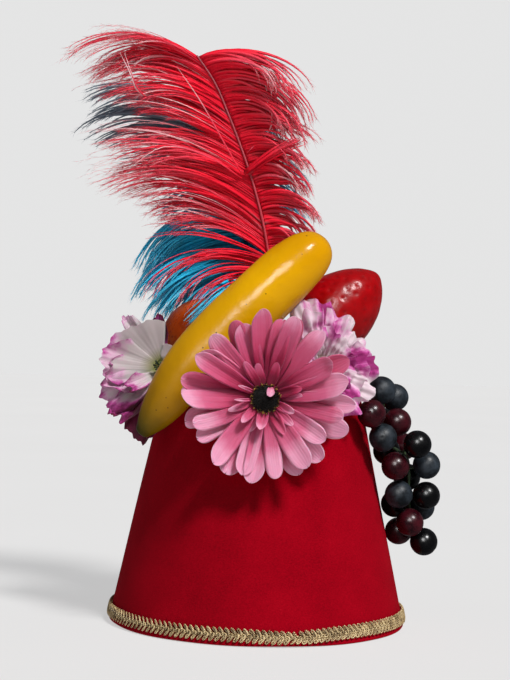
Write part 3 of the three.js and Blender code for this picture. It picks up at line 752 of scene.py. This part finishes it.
def petal_layer(name, bloom, grid, points, tone, hub, level, finish, root=(0.0, -0.3), lift=0.02):
    """One die-cut layer as a piece at its own level: its petals, each lifted a hair more than the one before
    it, and its uncut middle, which is dyed all over as "root" says, by a place along and a tone."""
    along, across = grid[:2]
    points[..., 2] += level * LAYER_STEP + lift * np.arange(len(points))[:, None, None]
    cloth = shell(faced(points, *bloom), flat=True, along=along, across=across, tone=tone)
    middle = shell(faced(hub_disc(hub, level), *bloom), along=root[0], across=0.0, tone=root[1])
    piece(f"{name}_cloth", [cloth, middle], finish, [f"{name}_petals"])


def scatter(rng, count, spread, middle=0.0):
    """One number for each petal, spread about a middle."""
    return rng.normal(middle, spread, (count, 1, 1))


# Where a bloom sits and which way it faces
GERBERA = ((1.5, -80, 144), (0, -1, 0))
LEFT_BLOOM = ((-63, -22, 159.5), (-0.25, -0.96, 0.1))
RIGHT_BLOOM = ((34, -53, 161), (0.3, -0.9, 0.3))


def gerbera(petal_finish, floss_finish, stem_finish):
    """Strap petals in three layers. Each keeps its width to a blunt round tip, is cupped by the square of
    the place across, creased along its middle and twisted a little. Those of the inner layer are short
    leaves."""
    PETALS, HUB, CREASE, WAVE, STALK_FOOT = 15, 9.0, 0.7, 0.3, 141.5
    layers = [
        # name, first turn, length, rise, curl, half-width, unevenness
        ("back", 0, 45, 5, 16, 6.1, 1.0),
        ("front", 12, 42, 10, 15, 5.9, 1.2),
        ("inner", 5, 15, 15, 8, 2.9, 3.0),
    ]
    over_the_eye = 2
    own_way = [
        # petal, turn, length, rise, half-width, paleness: one curls over the eye and two stand edge on
        (over_the_eye, 58, 12, 88, 2.6, 0.5), (6, 152, 17, 48, 1.0, 0.4), (7, 186, 17, 48, 1.0, 0.4),
    ]
    rng = np.random.default_rng(11)
    grid = petal_grid(rows=24, columns=13)
    along, across = grid[:2]
    blunt = np.sqrt(np.maximum(1 - onset(along, 0.76) ** 2.4, 0.01))
    strap = (0.4 + 0.6 * np.sin(np.pi / 2 * onset(along, 0, 0.6))) * blunt
    leaf = np.sqrt(np.maximum(1 - (1.7 * along - 0.7) ** 2, 0.02))

    def each(spread):
        return scatter(rng, PETALS, spread)

    for level, (name, offset, length, rise, curl, half, uneven) in enumerate(layers):
        turn = offset + 360 / PETALS * np.arange(PETALS)[:, None, None] + each(3.0 * uneven)
        long = length * (1 + each(0.05 * uneven))
        lean = rise + each(3.0 * uneven)
        bend = curl + each(7)
        halves = half * (1 + each(0.1))
        # Besides a random tone, lower petals are made paler and upper ones deeper by the sine of the turn:
        # painted light and painted shade
        pale = each(0.13) - 0.18 * np.sin(np.radians(turn))
        outline = strap
        if name == "inner":
            outline = leaf
            bend[over_the_eye] = 62
            for petal, *values in own_way:
                turn[petal], long[petal], lean[petal], halves[petal], pale[petal] = values
            pale = pale - 0.18
        halves = halves * outline
        cup = rng.uniform(0.0, 0.5, (PETALS, 1, 1)) * rng.choice([1, 1, 1, -0.6], (PETALS, 1, 1))
        twist = each(0.3)
        hook = each(20) * onset(along, 0.65) ** 2
        skew = each(0.05) * along**2
        relief = halves * (cup * across**2 + twist * across * along)
        relief = relief - CREASE * bell(across, 0.2) * np.sin(np.pi * np.clip(along * 1.05, 0, 1))
        relief = relief + WAVE * np.cos(3 * np.pi * across + each(0.6)) * np.sin(np.pi * along)
        notch = 1 - 0.03 * bell(across - each(0.3), 0.2) * rng.choice([0, 1, 1], (PETALS, 1, 1))
        way = halves * across + long * skew
        points = petals(grid, turn, long, lean, bend * along + hook, HUB - 1.5, way, notch, relief)
        name = f"gerbera_{name}"
        petal_layer(
            name, GERBERA, grid, points, pale, HUB, level, petal_finish, root=(0.05, 0.0),
        )
    gerbera_eye(floss_finish)
    foot = crown_radius(STALK_FOOT) + GAP + GERBERA[0][1]
    back = -HUB_BACK
    stalk = np.array([
        # radius, height
        (0.6, foot), (2.4, foot), (2.5, foot + 0.4), (2.5, back - 8), (3.4, back - 7), (6.4, back - 3.4),
        (7.7, back - 2.2), (8, back - 0.8), (7.6, back), (1, back),
    ])
    rings = faced(spun(*stalk.T, sides=40), *GERBERA)
    parts = [wound(rings, np.linspace(0, 20, len(stalk)))]
    piece("gerbera_stalk", parts, stem_finish, ["gerbera_stem"])


def gerbera_eye(finish):
    """A low dome of floss: tufts stand on a sunflower spiral, the inner ones short and dark, and the
    outer ring leans out and carries pollen."""
    RADIUS, SEAT, DOME, SLOPE, SUNK, TUFTS = 8.0, 3.6, 2.6, 1.4, 0.4, 420
    rng = np.random.default_rng(3)
    fall = np.linspace(0.06, 1, 14)
    radius = np.concatenate([[0.4], RADIUS * fall, [0.9 * RADIUS]])
    height = np.concatenate([[DOME], DOME - SLOPE * fall**2, [0]])
    dome = spun(radius, SEAT + height, sides=36)
    order = (np.arange(TUFTS) + 0.5) / TUFTS
    way = bearings(np.arange(TUFTS) * GOLDEN_TURN + rng.normal(0, 0.1, TUFTS))
    foot = way * RADIUS * np.sqrt(order)[:, None]
    foot[:, 2] = SEAT + DOME - SUNK - SLOPE * order
    outer = onset(order, 0.6, 0.85)
    tall = 0.9 + 1.2 * outer + rng.uniform(0, 0.8, TUFTS)
    lean = way * (0.1 + 0.4 * outer)[:, None] + rng.normal(0, 0.2, (TUFTS, 3)) + (0, 0, 1)
    path = foot[:, None] + unit(lean)[:, None] * tall[:, None, None] * np.linspace(0, 1, 4)[:, None]
    rings = ringed(path, (0.34, 0.26, 0.36, 0.2), sides=5)
    pollen = np.array([0.1, 0.2, 0.75, 1.0])[:, None] * (outer * rng.uniform(0.3, 1, TUFTS))[:, None, None]
    parts = [shell(faced(rings, *GERBERA), pollen=pollen), shell(faced(dome, *GERBERA), pollen=0.0)]
    piece("gerbera_floss", parts, finish, ["gerbera_eye"])


def left_bloom(petal_finish, stem_finish):
    """One trumpet of petals of many sizes. Each widens outwards from the throat, is pleated faintly
    across, rolls over in its outer third, and waves more and more towards a cut edge that is round and
    finely notched. The dye differs from one side of a petal to the other by the place across times its
    size."""
    HUB, USUAL_LENGTH = 5.0, 39
    rows = np.array([
        # turn, length, rise, roll of the outer third, half-width at the edge, wave, dye, dye to one side
        (122, 30, 22, -6, 22, 0.9, -0.18, 0.9),
        (112, 36, 10, -10, 6, 1.0, -0.1, 0.2),
        (80, 29, 6, 0, 6, 0.5, 0.6, 0.1),
        (162, 37, 30, 20, 15, 1.6, 0.05, 0.2),
        (184, 39, 24, 80, 13, 2.2, 0.15, 0.2),
        (203, 40, 28, -60, 14, 2.6, 0.2, 0.2),
        (222, 45, 14, 60, 10, 2.0, 0.4, 0.2),
        (214, 31, 44, 36, 6, 1.5, 0.3, 0.1),
        # The lowest petal's dye runs to the darkest maroon: partly its dye, partly painted shade on a petal
        # that curls away below
        (244, 45, 10, -16, 14, 2.0, 0.8, 0.1),
        (12, 12, 10, 0, 6, 0.3, -0.3, 0.0),
        (52, 11, 10, 0, 8, 0.3, -0.3, 0.0),
    ], float)[:, :, None, None]
    turn, length, rise, roll, half, wave, tone, side = np.moveaxis(rows, 1, 0)
    rng = np.random.default_rng(23)
    grid = petal_grid(rows=34, columns=41)
    along, across = grid[:2]
    phase = rng.uniform(0, 6, turn.shape)
    curl = 12 * along + roll * onset(along, 0.55) ** 1.5
    width = half * (0.16 + 0.84 * along**0.85) * across
    notched = 0.016 * np.sin(13 * across + phase) + 0.011 * np.sin(29 * across + 2 * phase)
    notched = notched + 0.03 * np.sin(5 * across + 3 * phase)
    tip = (1 + 0.2 * side * across) * (1 - 0.2 * across**2 - 0.2 * across**6 + notched * along**3)
    pleat = 0.045 * np.cos(14 * across + 2.0 * np.sin(3 * across + phase))
    pleat = pleat * np.sin(np.pi * np.clip(along * 0.9, 0, 1))
    frill = wave * along**2 * (np.sin(5 * across + phase) + 0.5 * np.sin(11 * across + 3 * phase + 2 * along))
    relief = length / USUAL_LENGTH * (pleat + frill + 2.0 * across**2 * along)
    points = petals(grid, turn, length, rise, curl, HUB - 1, width, tip, relief)
    tone = tone + side * across * np.abs(across) * along
    petal_layer("left_bloom", LEFT_BLOOM, grid, points, tone, HUB, 0, petal_finish, lift=0.03)
    filaments(rng, stem_finish)
    bloom_stem("left_bloom", LEFT_BLOOM, (-47, -17, STAND), stem_finish)


def filaments(rng, finish):
    """Thin stamens that rise from the throat and lean out more and more, each with a thicker end."""
    COUNT, STEPS, SIDES, HEIGHT = 9, 12, 7, 9.6
    way = bearings(turns(COUNT) + rng.normal(0, 0.2, COUNT))[:, None]
    rise = np.linspace(0, 1, STEPS)[:, None]
    spread = 0.7 + 2.4 * rise**1.5 * rng.uniform(0.5, 1, (COUNT, 1, 1))
    path = way * spread + (0, 0, HUB_BACK) + (0, 0, HEIGHT) * rise * rng.uniform(0.75, 1, (COUNT, 1, 1))
    rings = faced(ringed(path, np.where(rise[:, 0] > 0.8, 0.62, 0.3), SIDES), *LEFT_BLOOM)
    parts = [wound(rings, np.linspace(0, 10, STEPS))]
    piece("left_bloom_filaments", parts, finish, ["left_bloom_stamens"])


def right_bloom(petal_finish, stem_finish):
    """A double bloom of three frilled layers. Each petal is a fan, narrow at the hub. Its outer half
    waves across in ruffles that grow towards a scalloped edge, rolls over more in some places than in
    others, and is crumpled all over by the product of two slanting waves. Beside the banana the fans are
    folded short. The dye lies in bands round the bloom."""
    layers = [
        # name, petals, first turn, length, rise, curl, hub, half-width at the edge
        ("outer", 8, 8, 27, 14, 12, 8.0, 15.0),
        ("middle", 7, 30, 23, 36, 12, 7.5, 12.5),
        ("inner", 5, 0, 18, 58, 10, 5.0, 11.0),
    ]
    fold_turns, fold_lengths = [60, 85, 132, 155, 235, 250], [1.05, 1.28, 1.42, 0.65, 0.55, 1.05]
    rng = np.random.default_rng(31)
    grid = petal_grid(rows=20, columns=51)
    along, across = grid[:2]
    for level, (name, count, offset, length, rise, curl, hub, half) in enumerate(layers):
        turn = offset + 360 / count * np.arange(count)[:, None, None] + scatter(rng, count, 3)
        phase = rng.uniform(0, 6, turn.shape)
        there = (turn + 200 / count * across) % 360
        folded = np.interp(there, fold_turns, fold_lengths)
        edge = 0.04 * np.sin(7 * across + phase) + 0.012 * np.sin(16 * across - phase)
        tip = folded * (1 - 0.1 * across**2 + edge * along**3)
        roll = scatter(rng, count, 22, middle=-40) + 30 * np.sin(5 * across + 2 * phase)
        bend = curl * along + roll * onset(along, 0.5) ** 1.5
        way = half * np.sqrt(folded) * (0.25 + 0.75 * along**0.9) * across
        ruffle = along**3 * (1.4 * np.sin(9 * across + phase) + 0.3 * np.sin(23 * across - phase + 3 * along))
        pucker = np.sin(10 * across + 8 * along + phase) * np.sin(12 * along - 7 * across + 2 * phase)
        relief = folded * (ruffle + 1.5 * pucker * np.sin(np.pi * along**0.8))
        lean = rise + scatter(rng, count, 6)
        points = petals(grid, turn, length, lean, bend, hub - 1, way, tip, relief)
        signed = (there + 180) % 360 - 180
        tone = 0.3 * np.cos(np.radians(5.3 * (signed - 30))) + 0.3 * bell(signed - 20, 25)
        tone = tone + rng.uniform(-0.12, 0.18, turn.shape)
        name = f"right_bloom_{name}"
        petal_layer(name, RIGHT_BLOOM, grid, points, tone, hub, level, petal_finish)
    bloom_stem("right_bloom", RIGHT_BLOOM, (27, -38, STAND), stem_finish)


# Grapes


GRAPES = [
    # x, y, z, skin
    (74, -26, 149, "slate"), (84, -6, 144, "slate"), (67, -42, 135, "red"), (85, -18, 129, "red"),
    (75, -33, 120, "slate"), (97, -27, 116, "black"), (84, -24, 102, "red"), (105, -9, 102, "slate"),
    (94, 4, 93, "black"), (87, -19, 84, "slate"), (105, -12, 83, "black"), (95, -14, 66, "red"),
    (105, -5, 53, "black"), (78, 8, 128, "black"), (92, 11, 112, "red"), (80, -4, 110, "black"),
    (86.5, 2, 76, "black"), (104, 7, 74, "slate"), (90, 7, 58, "red"),
]


def grapes(skins, stem_finish):
    """Balls a little longer than wide, sunk round the pedicel and drawn in to a scar at the far end. Each
    one's own axis points to the nearest place on the stem, and its pedicel, thicker at the berry, runs
    along that axis."""
    RADIUS, RINGS, SIDES, SINK, SCAR = 8.75, 30, 40, 0.06, 0.035
    STEM_STEPS, STEM_SIDES, PEDICEL_STEPS, PEDICEL_SIDES, SAG = 90, 10, 8, 7, 0.8
    stem = route([
        (50, -16, STAND + WIRE), (62, -14, 156), (74, -13, 155), (76, -14, 138), (75, -14, 124),
        (82, -15, 114), (92, -11, 106), (94, -9, 90), (95, -4, 74), (96, -2, 60),
    ], STEM_STEPS)
    fall = np.linspace(0.03, np.pi - 0.03, RINGS)
    turn = turns(SIDES)
    sunk = RADIUS * (1 - SINK * bell(fall, 0.2) - SCAR * bell(np.pi - fall, 0.13))
    ball = spun(sunk * np.sin(fall), sunk * np.cos(fall), SIDES)
    feet, heads = [], []
    for number, (x, y, z, skin) in enumerate(GRAPES, start=1):
        centre = np.array((x, y, z), float)
        foot = stem[np.argmin(np.linalg.norm(stem - centre, axis=1))]
        uneven = 1 + 0.008 * np.sin(2 * turn + number) + 0.006 * np.sin(3 * turn + 2 * number)
        berry = ball * np.stack([uneven, uneven, np.ones(SIDES)], axis=-1)
        name = f"grape_{number:02d}"
        berry = faced(berry, centre, foot - centre)
        piece(f"{name}_skin", [shell(berry)], skins[skin], [name])
        feet.append(foot)
        heads.append(centre + unit(foot - centre) * (RADIUS - 0.2))
    feet, heads = np.array(feet)[:, None], np.array(heads)[:, None]
    share = np.linspace(0, 1, PEDICEL_STEPS)[:, None]
    path = feet + (heads - feet) * share - (0, 0, SAG) * np.sin(np.pi * share)
    pedicels = ringed(path, 0.55 + 0.75 * share[:, 0] ** 5, PEDICEL_SIDES, beside=(0.3, 0.5, 0.81))
    main = ringed(stem, WIRE + 0.12 * np.sin(0.9 * np.arange(STEM_STEPS)), STEM_SIDES)
    parts = [wound(pedicels, np.linspace(0, 12, PEDICEL_STEPS)), wound(main, np.linspace(0, 160, STEM_STEPS))]
    piece("grape_twig", parts, stem_finish, ["grape_stem"])


# Plumes


BARB_STEPS = 14
BARB_WAY = np.linspace(0, 1, BARB_STEPS)

# How the barbs of each vane turn: by this power of the way along, with this hook of the tip in degrees
LEFT_CURL = (1.4, 8)
RIGHT_CURL = (0.65, -25)


def vane(quill, locks, curl, rng, drawn_from, ragged):
    """The barbs of one side of a plume, as paths. Each row of "locks" is one lock: the place of its root
    on the quill, the angles at which its barbs leave and end, its length, how far its tip comes to the
    front, and its barbs. They are rooted evenly, so they start as one sheet. A barb turns from "leave" to
    "end" by a power of the way along and hooks over at its tip, so its run is the running sum of that
    angle's cosine and sine. From "drawn_from" on the barbs draw together into three strands a lock, each
    with a length and an end of its own, and within a strand they end at lengths that differ by up to
    "ragged"."""
    STRANDS, KEPT_APART = 3, 0.3
    along = BARB_WAY
    bend, hook = curl
    table = np.array(locks, float)
    counts = table[:, 5].astype(int)
    lock = np.repeat(np.arange(len(table)), counts)
    barbs = len(lock)
    first = np.repeat(np.cumsum(counts) - counts, counts)
    across = (np.arange(barbs) - first + rng.uniform(0, 1, barbs)) / counts[lock] - 0.5
    strand = np.minimum(((across + 0.5) * STRANDS).astype(int), STRANDS - 1)
    uneven = rng.normal(0, (0.07, 5.0, 6.0), (len(table) * STRANDS, 3))[lock * STRANDS + strand]

    # A barb's own row, its strand's and its lock's, and their roots on the quill
    places = [lock + across, lock + (strand + 0.5) / STRANDS - 0.5, lock]
    own, drawn, middle = [blended(place, np.arange(len(table)), table).T for place in places]
    spots = np.linspace(0, 1, len(quill))
    root, strand_root, lock_root = [blended(row[0], spots, quill)[:, None] for row in (own, drawn, middle)]

    leave = own[1] + rng.normal(0, 1.5, barbs)
    end = middle[2] + uneven[:, 1] + rng.normal(0, 3, barbs)
    length = middle[3] * (1 + uneven[:, 0]) * (1.05 - ragged * rng.random(barbs) ** 1.6)
    front = middle[4] + uneven[:, 2] + rng.normal(0, 3, barbs)
    angle = np.radians(leave[:, None] + (end - leave)[:, None] * along**bend + hook * along**4)
    x, z = run_and_height(angle, length[:, None] * np.diff(along, prepend=0))
    swing = rng.uniform(0, 1, (2, barbs, 1)) + rng.uniform(1, 2.4, (2, barbs, 1)) * along
    wave = rng.normal(0, 0.3, (2, barbs, 1)) * np.sin(np.pi * swing) * along
    out = np.stack([x + wave[0], 1.0 - along - front[:, None] * along, z + wave[1]], axis=-1)
    draw = onset(along, drawn_from)
    draw = (draw**2 * (3 - 2 * draw))[:, None]
    return lock_root + (root - lock_root) * (1 - draw) + (strand_root - lock_root) * KEPT_APART * draw + out


def loose_lock(points, rng, barbs, spread, rooted):
    """Barbs side by side along one line, each moved off it by a random step: by the share "rooted" of it
    at the root, and by all of it at the tip."""
    apart = rng.normal(0, spread, (barbs, 1, 3)) * (rooted + (1 - rooted) * BARB_WAY[:, None])
    return route(points, BARB_STEPS) + apart


def barbs_and_fluff(paths, rng, fluff, width=1.0, reach=6.0, paleness_and_light=0.0):
    """Each barb as a flat ribbon of four sides that narrows to its tip and faces the front, turned a
    little to the lamp, and spikes of fluff that leave it at a slant on both sides, mostly in the plume's
    own plane and longer towards the tip. Some barbs are paler all along, and all of them by the given
    paleness: pale dye for wisps and strays, painted light for a vane that faces the lamp. A third of the
    outermost fluff is darkened as painted shade."""
    HALF_THICK, USUAL_LENGTH = 0.16, 45
    ROOT_DYE_AND_SHADE, DYE_RUN = 0.12, 0.68
    PALE_SHARE, PALER, DARK_SHARE, DARKER = 0.15, 0.2, 0.3, 0.55
    TO_THE_LAMP, DEPTH_WAY = (-0.35, 1, -0.15), (0.0, 1.0, 0.0)
    count = len(paths)
    tone = paleness_and_light + rng.normal(0, 0.06, count) + PALER * (rng.random(count) < PALE_SHARE)
    flat = width * (0.1 + 0.9 * (1 - BARB_WAY**2.2)) * rng.uniform(0.8, 1.2, (count, 1))
    thick = 0 * flat + HALF_THICK
    beside = rng.normal(0, 0.12, (count, 1, 3)) + TO_THE_LAMP
    ribbons = ringed(paths, np.stack([flat, thick, flat, thick], axis=-1), 4, beside)
    parts = [shell(ribbons, along=(ROOT_DYE_AND_SHADE + DYE_RUN * BARB_WAY)[:, None], tone=tone[:, None, None])]

    barb = np.repeat(np.arange(count), fluff)
    place = 0.2 + 0.795 * np.tile((np.arange(fluff) + 0.5) / fluff, count)
    place = np.clip(place + rng.normal(0, 0.01, len(barb)), 0.03, 0.995)
    spot = place * (BARB_STEPS - 1)
    low = np.minimum(spot.astype(int), BARB_STEPS - 2)
    share = (spot - low)[:, None]
    before, after = paths[barb, low], paths[barb, low + 1]
    foot = before * (1 - share) + after * share
    ahead = unit(after - before)
    plane = unit(np.cross(ahead, DEPTH_WAY))
    roll = rng.normal(0, 0.55, len(barb)) + np.pi * rng.integers(0, 2, len(barb))
    side = plane * np.cos(roll)[:, None] + np.cross(ahead, plane) * np.sin(roll)[:, None]
    slant = np.radians(rng.uniform(6, 16 + 12 * place))[:, None]
    short = np.clip(distances(paths)[:, -1] / USUAL_LENGTH, 0.25, 1)
    size = reach * (0.4 + 0.8 * place**2) * short[barb] * rng.uniform(0.5, 1.15, len(barb))
    tip = foot + size[:, None] * (ahead * np.cos(slant) + side * np.sin(slant))
    # A third of the outermost fluff is darkened: painted shade
    dark = rng.random(len(barb)) < DARK_SHARE * onset(place, 0.6, 0.95)
    shade = tone[barb] + rng.normal(0, 0.08, len(barb)) - DARKER * dark
    parts.append(spikes(foot, tip, 0.14 - 0.05 * place, along=ROOT_DYE_AND_SHADE + DYE_RUN * place, tone=shade))
    return parts


def quill_shaft(quill):
    """The plume's shaft: rings along the quill that taper evenly from its root to its tip."""
    ROOT_RADIUS, TIP_RADIUS = 1.0, 0.4
    radius = np.linspace(ROOT_RADIUS, TIP_RADIUS, len(quill))
    return shell(ringed(quill, radius, sides=10), along=0.0, tone=np.linspace(0.12, 0.0, len(quill))[:, None])


QUILL_STEPS = 80

STRAYS = [
    # Barbs that stand out of the red plume, each by points from its root to its tip
    [(-17, -5, 283), (-30, -14, 304), (-44, -26, 326), (-58, -40, 344)],
    [(-78, -22, 328), (-83, -30, 331), (-88, -32, 342), (-94, -33, 353)],
    [(-78, -22, 328), (-82, -30, 331), (-87, -32, 342), (-91, -33, 353)],
    [(-14, -3, 297), (1, -8, 314), (-1, -9, 328), (-4, -10, 342)],
    [(-18, -4, 281), (-34, -18, 290), (-67, -34, 295), (-86, -38, 281)],
]


def red_plume(finish):
    """Two vanes on a bowed quill, pale thin wisps over the left one, and a few barbs that have sprung out."""
    quill = route([
        (6, 3, STAND), (5, 3, 200), (1, 2, 236), (-8, 0, 273),
        (-15, -2, 293), (-26, -4, 320), (-36, -8, 341), (-47, -14, 356),
    ], QUILL_STEPS)
    left = [
        # place, leave, end, length, front, barbs
        (0.99, 151, 196, 57, 14, 24), (0.95, 148, 219, 79, 18, 26), (0.9, 146, 212, 80, 10, 26),
        (0.84, 144, 203, 85, 18, 26), (0.78, 144, 201, 86, 10, 26), (0.72, 145, 184, 76, 16, 24),
        (0.64, 149, 194, 88, 8, 24), (0.59, 147, 197, 97, 16, 26), (0.54, 146, 197, 96, 8, 26),
        (0.5, 143, 200, 96, 16, 26), (0.46, 140, 204, 99, 8, 26), (0.42, 141, 195, 86, 16, 24),
        (0.38, 142, 196, 80, 10, 20),
    ]
    hanging = [
        (0.37, 155, 187, 78, 12, 5), (0.355, 158, 226, 76, 16, 7), (0.34, 160, 238, 82, 18, 8),
        (0.325, 165, 238, 72, 20, 8), (0.305, 168, 238, 62, 22, 9), (0.29, 172, 240, 50, 24, 9),
    ]
    right = [
        (0.99, 34, -46, 70, 8, 28), (0.92, 32, -60, 74, 2, 28), (0.85, 32, -49, 58, 8, 26),
        (0.78, 36, -42, 51, 0, 26), (0.7, 38, -44, 51, 6, 26), (0.62, 38, -48, 46, 0, 26),
        (0.54, 38, -48, 40, 6, 24), (0.48, 36, -42, 35, 0, 24), (0.43, 34, -40, 30, 4, 22),
        (0.36, 30, -40, 27, 0, 18),
    ]
    # The wisps follow the left locks, a tenth longer and a little further to the front, five to a lock
    wisps = [(place, leave, end, 1.1 * length, front + 3, 5) for place, leave, end, length, front, _ in left]
    sprung = [(-14, -4, 284), (-4, -9, 292), (7, -12, 299), (19, -12, 305)]
    rng, wisp_rng = np.random.default_rng(7), np.random.default_rng(8)
    paths = vane(quill, left, LEFT_CURL, rng, drawn_from=0.25, ragged=0.38)
    parts = barbs_and_fluff(paths, rng, fluff=84, width=0.8)
    paths = vane(quill, hanging, LEFT_CURL, rng, drawn_from=0.4, ragged=0.25)
    parts += barbs_and_fluff(paths, rng, fluff=60, width=0.5, reach=3.0)
    paths = vane(quill, wisps, LEFT_CURL, wisp_rng, drawn_from=0.3, ragged=0.12)
    parts += barbs_and_fluff(paths, wisp_rng, fluff=40, width=0.3, reach=5.0, paleness_and_light=0.38)
    piece("red_plume_left_vane", parts, finish, ["red_plume"])
    paths = vane(quill, right, RIGHT_CURL, rng, drawn_from=0.45, ragged=0.38)
    # The right vane's barbs are made a little paler as painted light, for the side that faces the lamp
    parts = barbs_and_fluff(paths, rng, fluff=80, width=1.15, reach=5.0, paleness_and_light=0.08)
    paths = np.stack([route(points, BARB_STEPS) for points in STRAYS])
    parts += barbs_and_fluff(paths, rng, fluff=24, width=0.5, reach=3.0, paleness_and_light=0.4)
    paths = loose_lock(sprung, rng, barbs=16, spread=1.8, rooted=0.35)
    parts += barbs_and_fluff(paths, rng, fluff=40, reach=4.0)
    parts.append(quill_shaft(quill))
    piece("red_plume_right_vane", parts, finish, ["red_plume"])


def blue_plume(finish):
    """Two vanes on a quill behind the red one; the lowest locks hang to the front, over the orange."""
    quill = route([
        (-4, 19, STAND), (-6, 19, 200), (-11, 18, 240), (-19, 17, 275), (-30, 15, 306), (-43, 12, 330),
    ], QUILL_STEPS)
    left = [
        # place, leave, end, length, front, barbs
        (0.97, 150, 209, 81, 4, 18), (0.88, 148, 210, 92, 0, 20), (0.78, 147, 204, 91, 6, 20),
        (0.7, 146, 190, 72, 0, 18), (0.64, 170, 212, 54, 4, 16), (0.58, 185, 244, 76, 0, 34),
        (0.52, 186, 242, 77, 6, 34), (0.48, 187, 238, 73, 4, 28), (0.44, 189, 236, 67, 10, 26),
        (0.41, 190, 238, 66, 6, 26), (0.38, 195, 244, 58, 12, 20),
    ]
    right = [
        (0.96, 35, -42, 62, -4, 22), (0.8, 38, -48, 58, 0, 22), (0.66, 38, -48, 52, -4, 22),
        (0.54, 36, -44, 34, 0, 20), (0.44, 34, -40, 26, -4, 18),
    ]
    over_the_orange = [(-6.5, 19, 206), (-16, 3, 214), (-29, -17, 206), (-45, -27, 189)]
    rng = np.random.default_rng(19)
    paths = vane(quill, left, LEFT_CURL, rng, drawn_from=0.45, ragged=0.2)
    parts = barbs_and_fluff(paths, rng, fluff=70, width=1.4, reach=5.0)
    paths = vane(quill, right, RIGHT_CURL, rng, drawn_from=0.45, ragged=0.38)
    parts += barbs_and_fluff(paths, rng, fluff=70, reach=5.0)
    paths = loose_lock(over_the_orange, rng, barbs=26, spread=2.4, rooted=0.4)
    parts += barbs_and_fluff(paths, rng, fluff=30, reach=4.0)
    parts.append(quill_shaft(quill))
    piece("blue_plume_vanes", parts, finish, ["blue_plume"])


# Floor, lamps and camera


def studio():
    """A pale paper floor that is partly lit from below and isn't mirrored in the lacquers, a soft main
    lamp from the upper right front, one near the camera that shows only in gloss, and a dim room, with
    the camera level in front."""
    FLOOR_REACH = 6
    FOCAL_PIXELS, LONG_SIDE_PIXELS, SENSOR = 1567, 680, 36
    CAMERA_PLACE, CAMERA_ROLL = (-0.0056, -1.0, 0.178), -1.6
    ROOM_LIGHT, ROOM_SEEN = (0.11, 0.11, 0.12, 1), (0.78, 0.78, 0.78, 1)

    paper = fresh("Pale matt paper, lit from below")
    cloud = add(paper, "TexNoise", {"Vector": "Object", "Scale": 3.0})
    finished(paper, {
        "Base Color": add(paper, "ValToRGB", (cloud,), stops=((0.3, "#8f8e8d"), (0.7, "#929190"))),
        "Roughness": 1.0, "Specular IOR Level": 0.0, "Emission Color": "#ffffff", "Emission Strength": 0.51,
    })
    floor = bpy.data.meshes.new("floor")
    corners = [(x * FLOOR_REACH, y * FLOOR_REACH, 0) for x, y in ((-1, -1), (1, -1), (1, 1), (-1, 1))]
    floor.from_pydata(corners, [], [(0, 1, 2, 3)])
    floor.materials.append(paper)
    ground = put("floor", floor)
    ground.visible_glossy = False

    world = bpy.data.worlds.new("Dim room")
    bpy.context.scene.world = world
    world.use_nodes = True
    seen = add(world, "LightPath", give="Is Camera Ray")
    room = add(world, "Mix", (seen, ROOM_LIGHT, ROOM_SEEN), data_type="RGBA")
    fill(world, world.node_tree.nodes["Background"], {"Color": room})

    lamps = [
        # name, strength, width in degrees, tilt from straight down, turn about +Z
        ("main_lamp", 3.6, 13, 42.4, 35),
        ("gloss_lamp", 3.0, 24, 62.6, -8),
    ]
    for name, strength, wide, tilt, turn in lamps:
        lamp = bpy.data.lights.new(name, "SUN")
        lamp.energy, lamp.angle = strength, np.radians(wide)
        lit = put(name, lamp)
        lit.rotation_euler = (np.radians(tilt), 0, np.radians(turn))
        lit.visible_diffuse = name == "main_lamp"

    camera = bpy.data.cameras.new("camera")
    camera.sensor_width, camera.lens = SENSOR, SENSOR * FOCAL_PIXELS / LONG_SIDE_PIXELS
    view = put("camera", camera)
    view.location = CAMERA_PLACE
    view.rotation_euler = (np.radians(90), np.radians(CAMERA_ROLL), 0)
    bpy.context.scene.camera = view
    bpy.context.scene.view_settings.view_transform = "Standard"


tape = stem_tape()
felt_crown(wool_felt())
gimp_braid(gimp_cord())
banana(banana_lacquer())
orange(orange_lacquer())
strawberry(strawberry_lacquer(), tape)
gerbera(pink_petal_cloth(), eye_floss(), tape)
left_bloom(white_petal_cloth(
    "White petal cloth, edge dyed", edge=1.0, patch=1.4, dye_from=1.52,
    # The greyed first white and the deep last maroon are painted shade for a bloom at the shaded left
    dyes_and_shade=("#bdb2b2", "#c9a2b8", "#ad4a8c", "#80205c", "#4c1426"),
), tape)
right_bloom(white_petal_cloth(
    "White petal cloth, patch dyed", edge=0.4, patch=2.0, dye_from=1.3,
    dyes_and_shade=("#dcc6ce", "#dca8c4", "#cc70aa", "#b8428e", "#902468"),
), tape)
skins = [
    # short name, name, dark, pale, roughness, gloss, haze
    ("black", "Black gloss plastic", "#020203", "#070708", 0.22, 0.32, 0.1),
    ("red", "Dark red gloss plastic", "#20040a", "#420a15", 0.24, 0.3, 0.1),
    ("slate", "Slate plastic with a dusted haze", "#0b0f13", "#2c343c", 0.36, 0.27, 0.2),
]
grapes({short: grape_skin(*looks) for short, *looks in skins}, tape)
red_plume(ostrich_barb("Red dyed ostrich barb", ("#b0606a", "#d20c28", "#fa1834", "#ea5064", "#f4c0c4")))
# The grey of the blue plume's upper half is painted shade from the red plume in front
blue_plume(ostrich_barb("Blue dyed ostrich barb", (
    "#123040", "#0c86b0", "#1cc4f4", "#4cc4e6", "#a4dcee",
), painted_shade_above="#7a8896"))
studio()
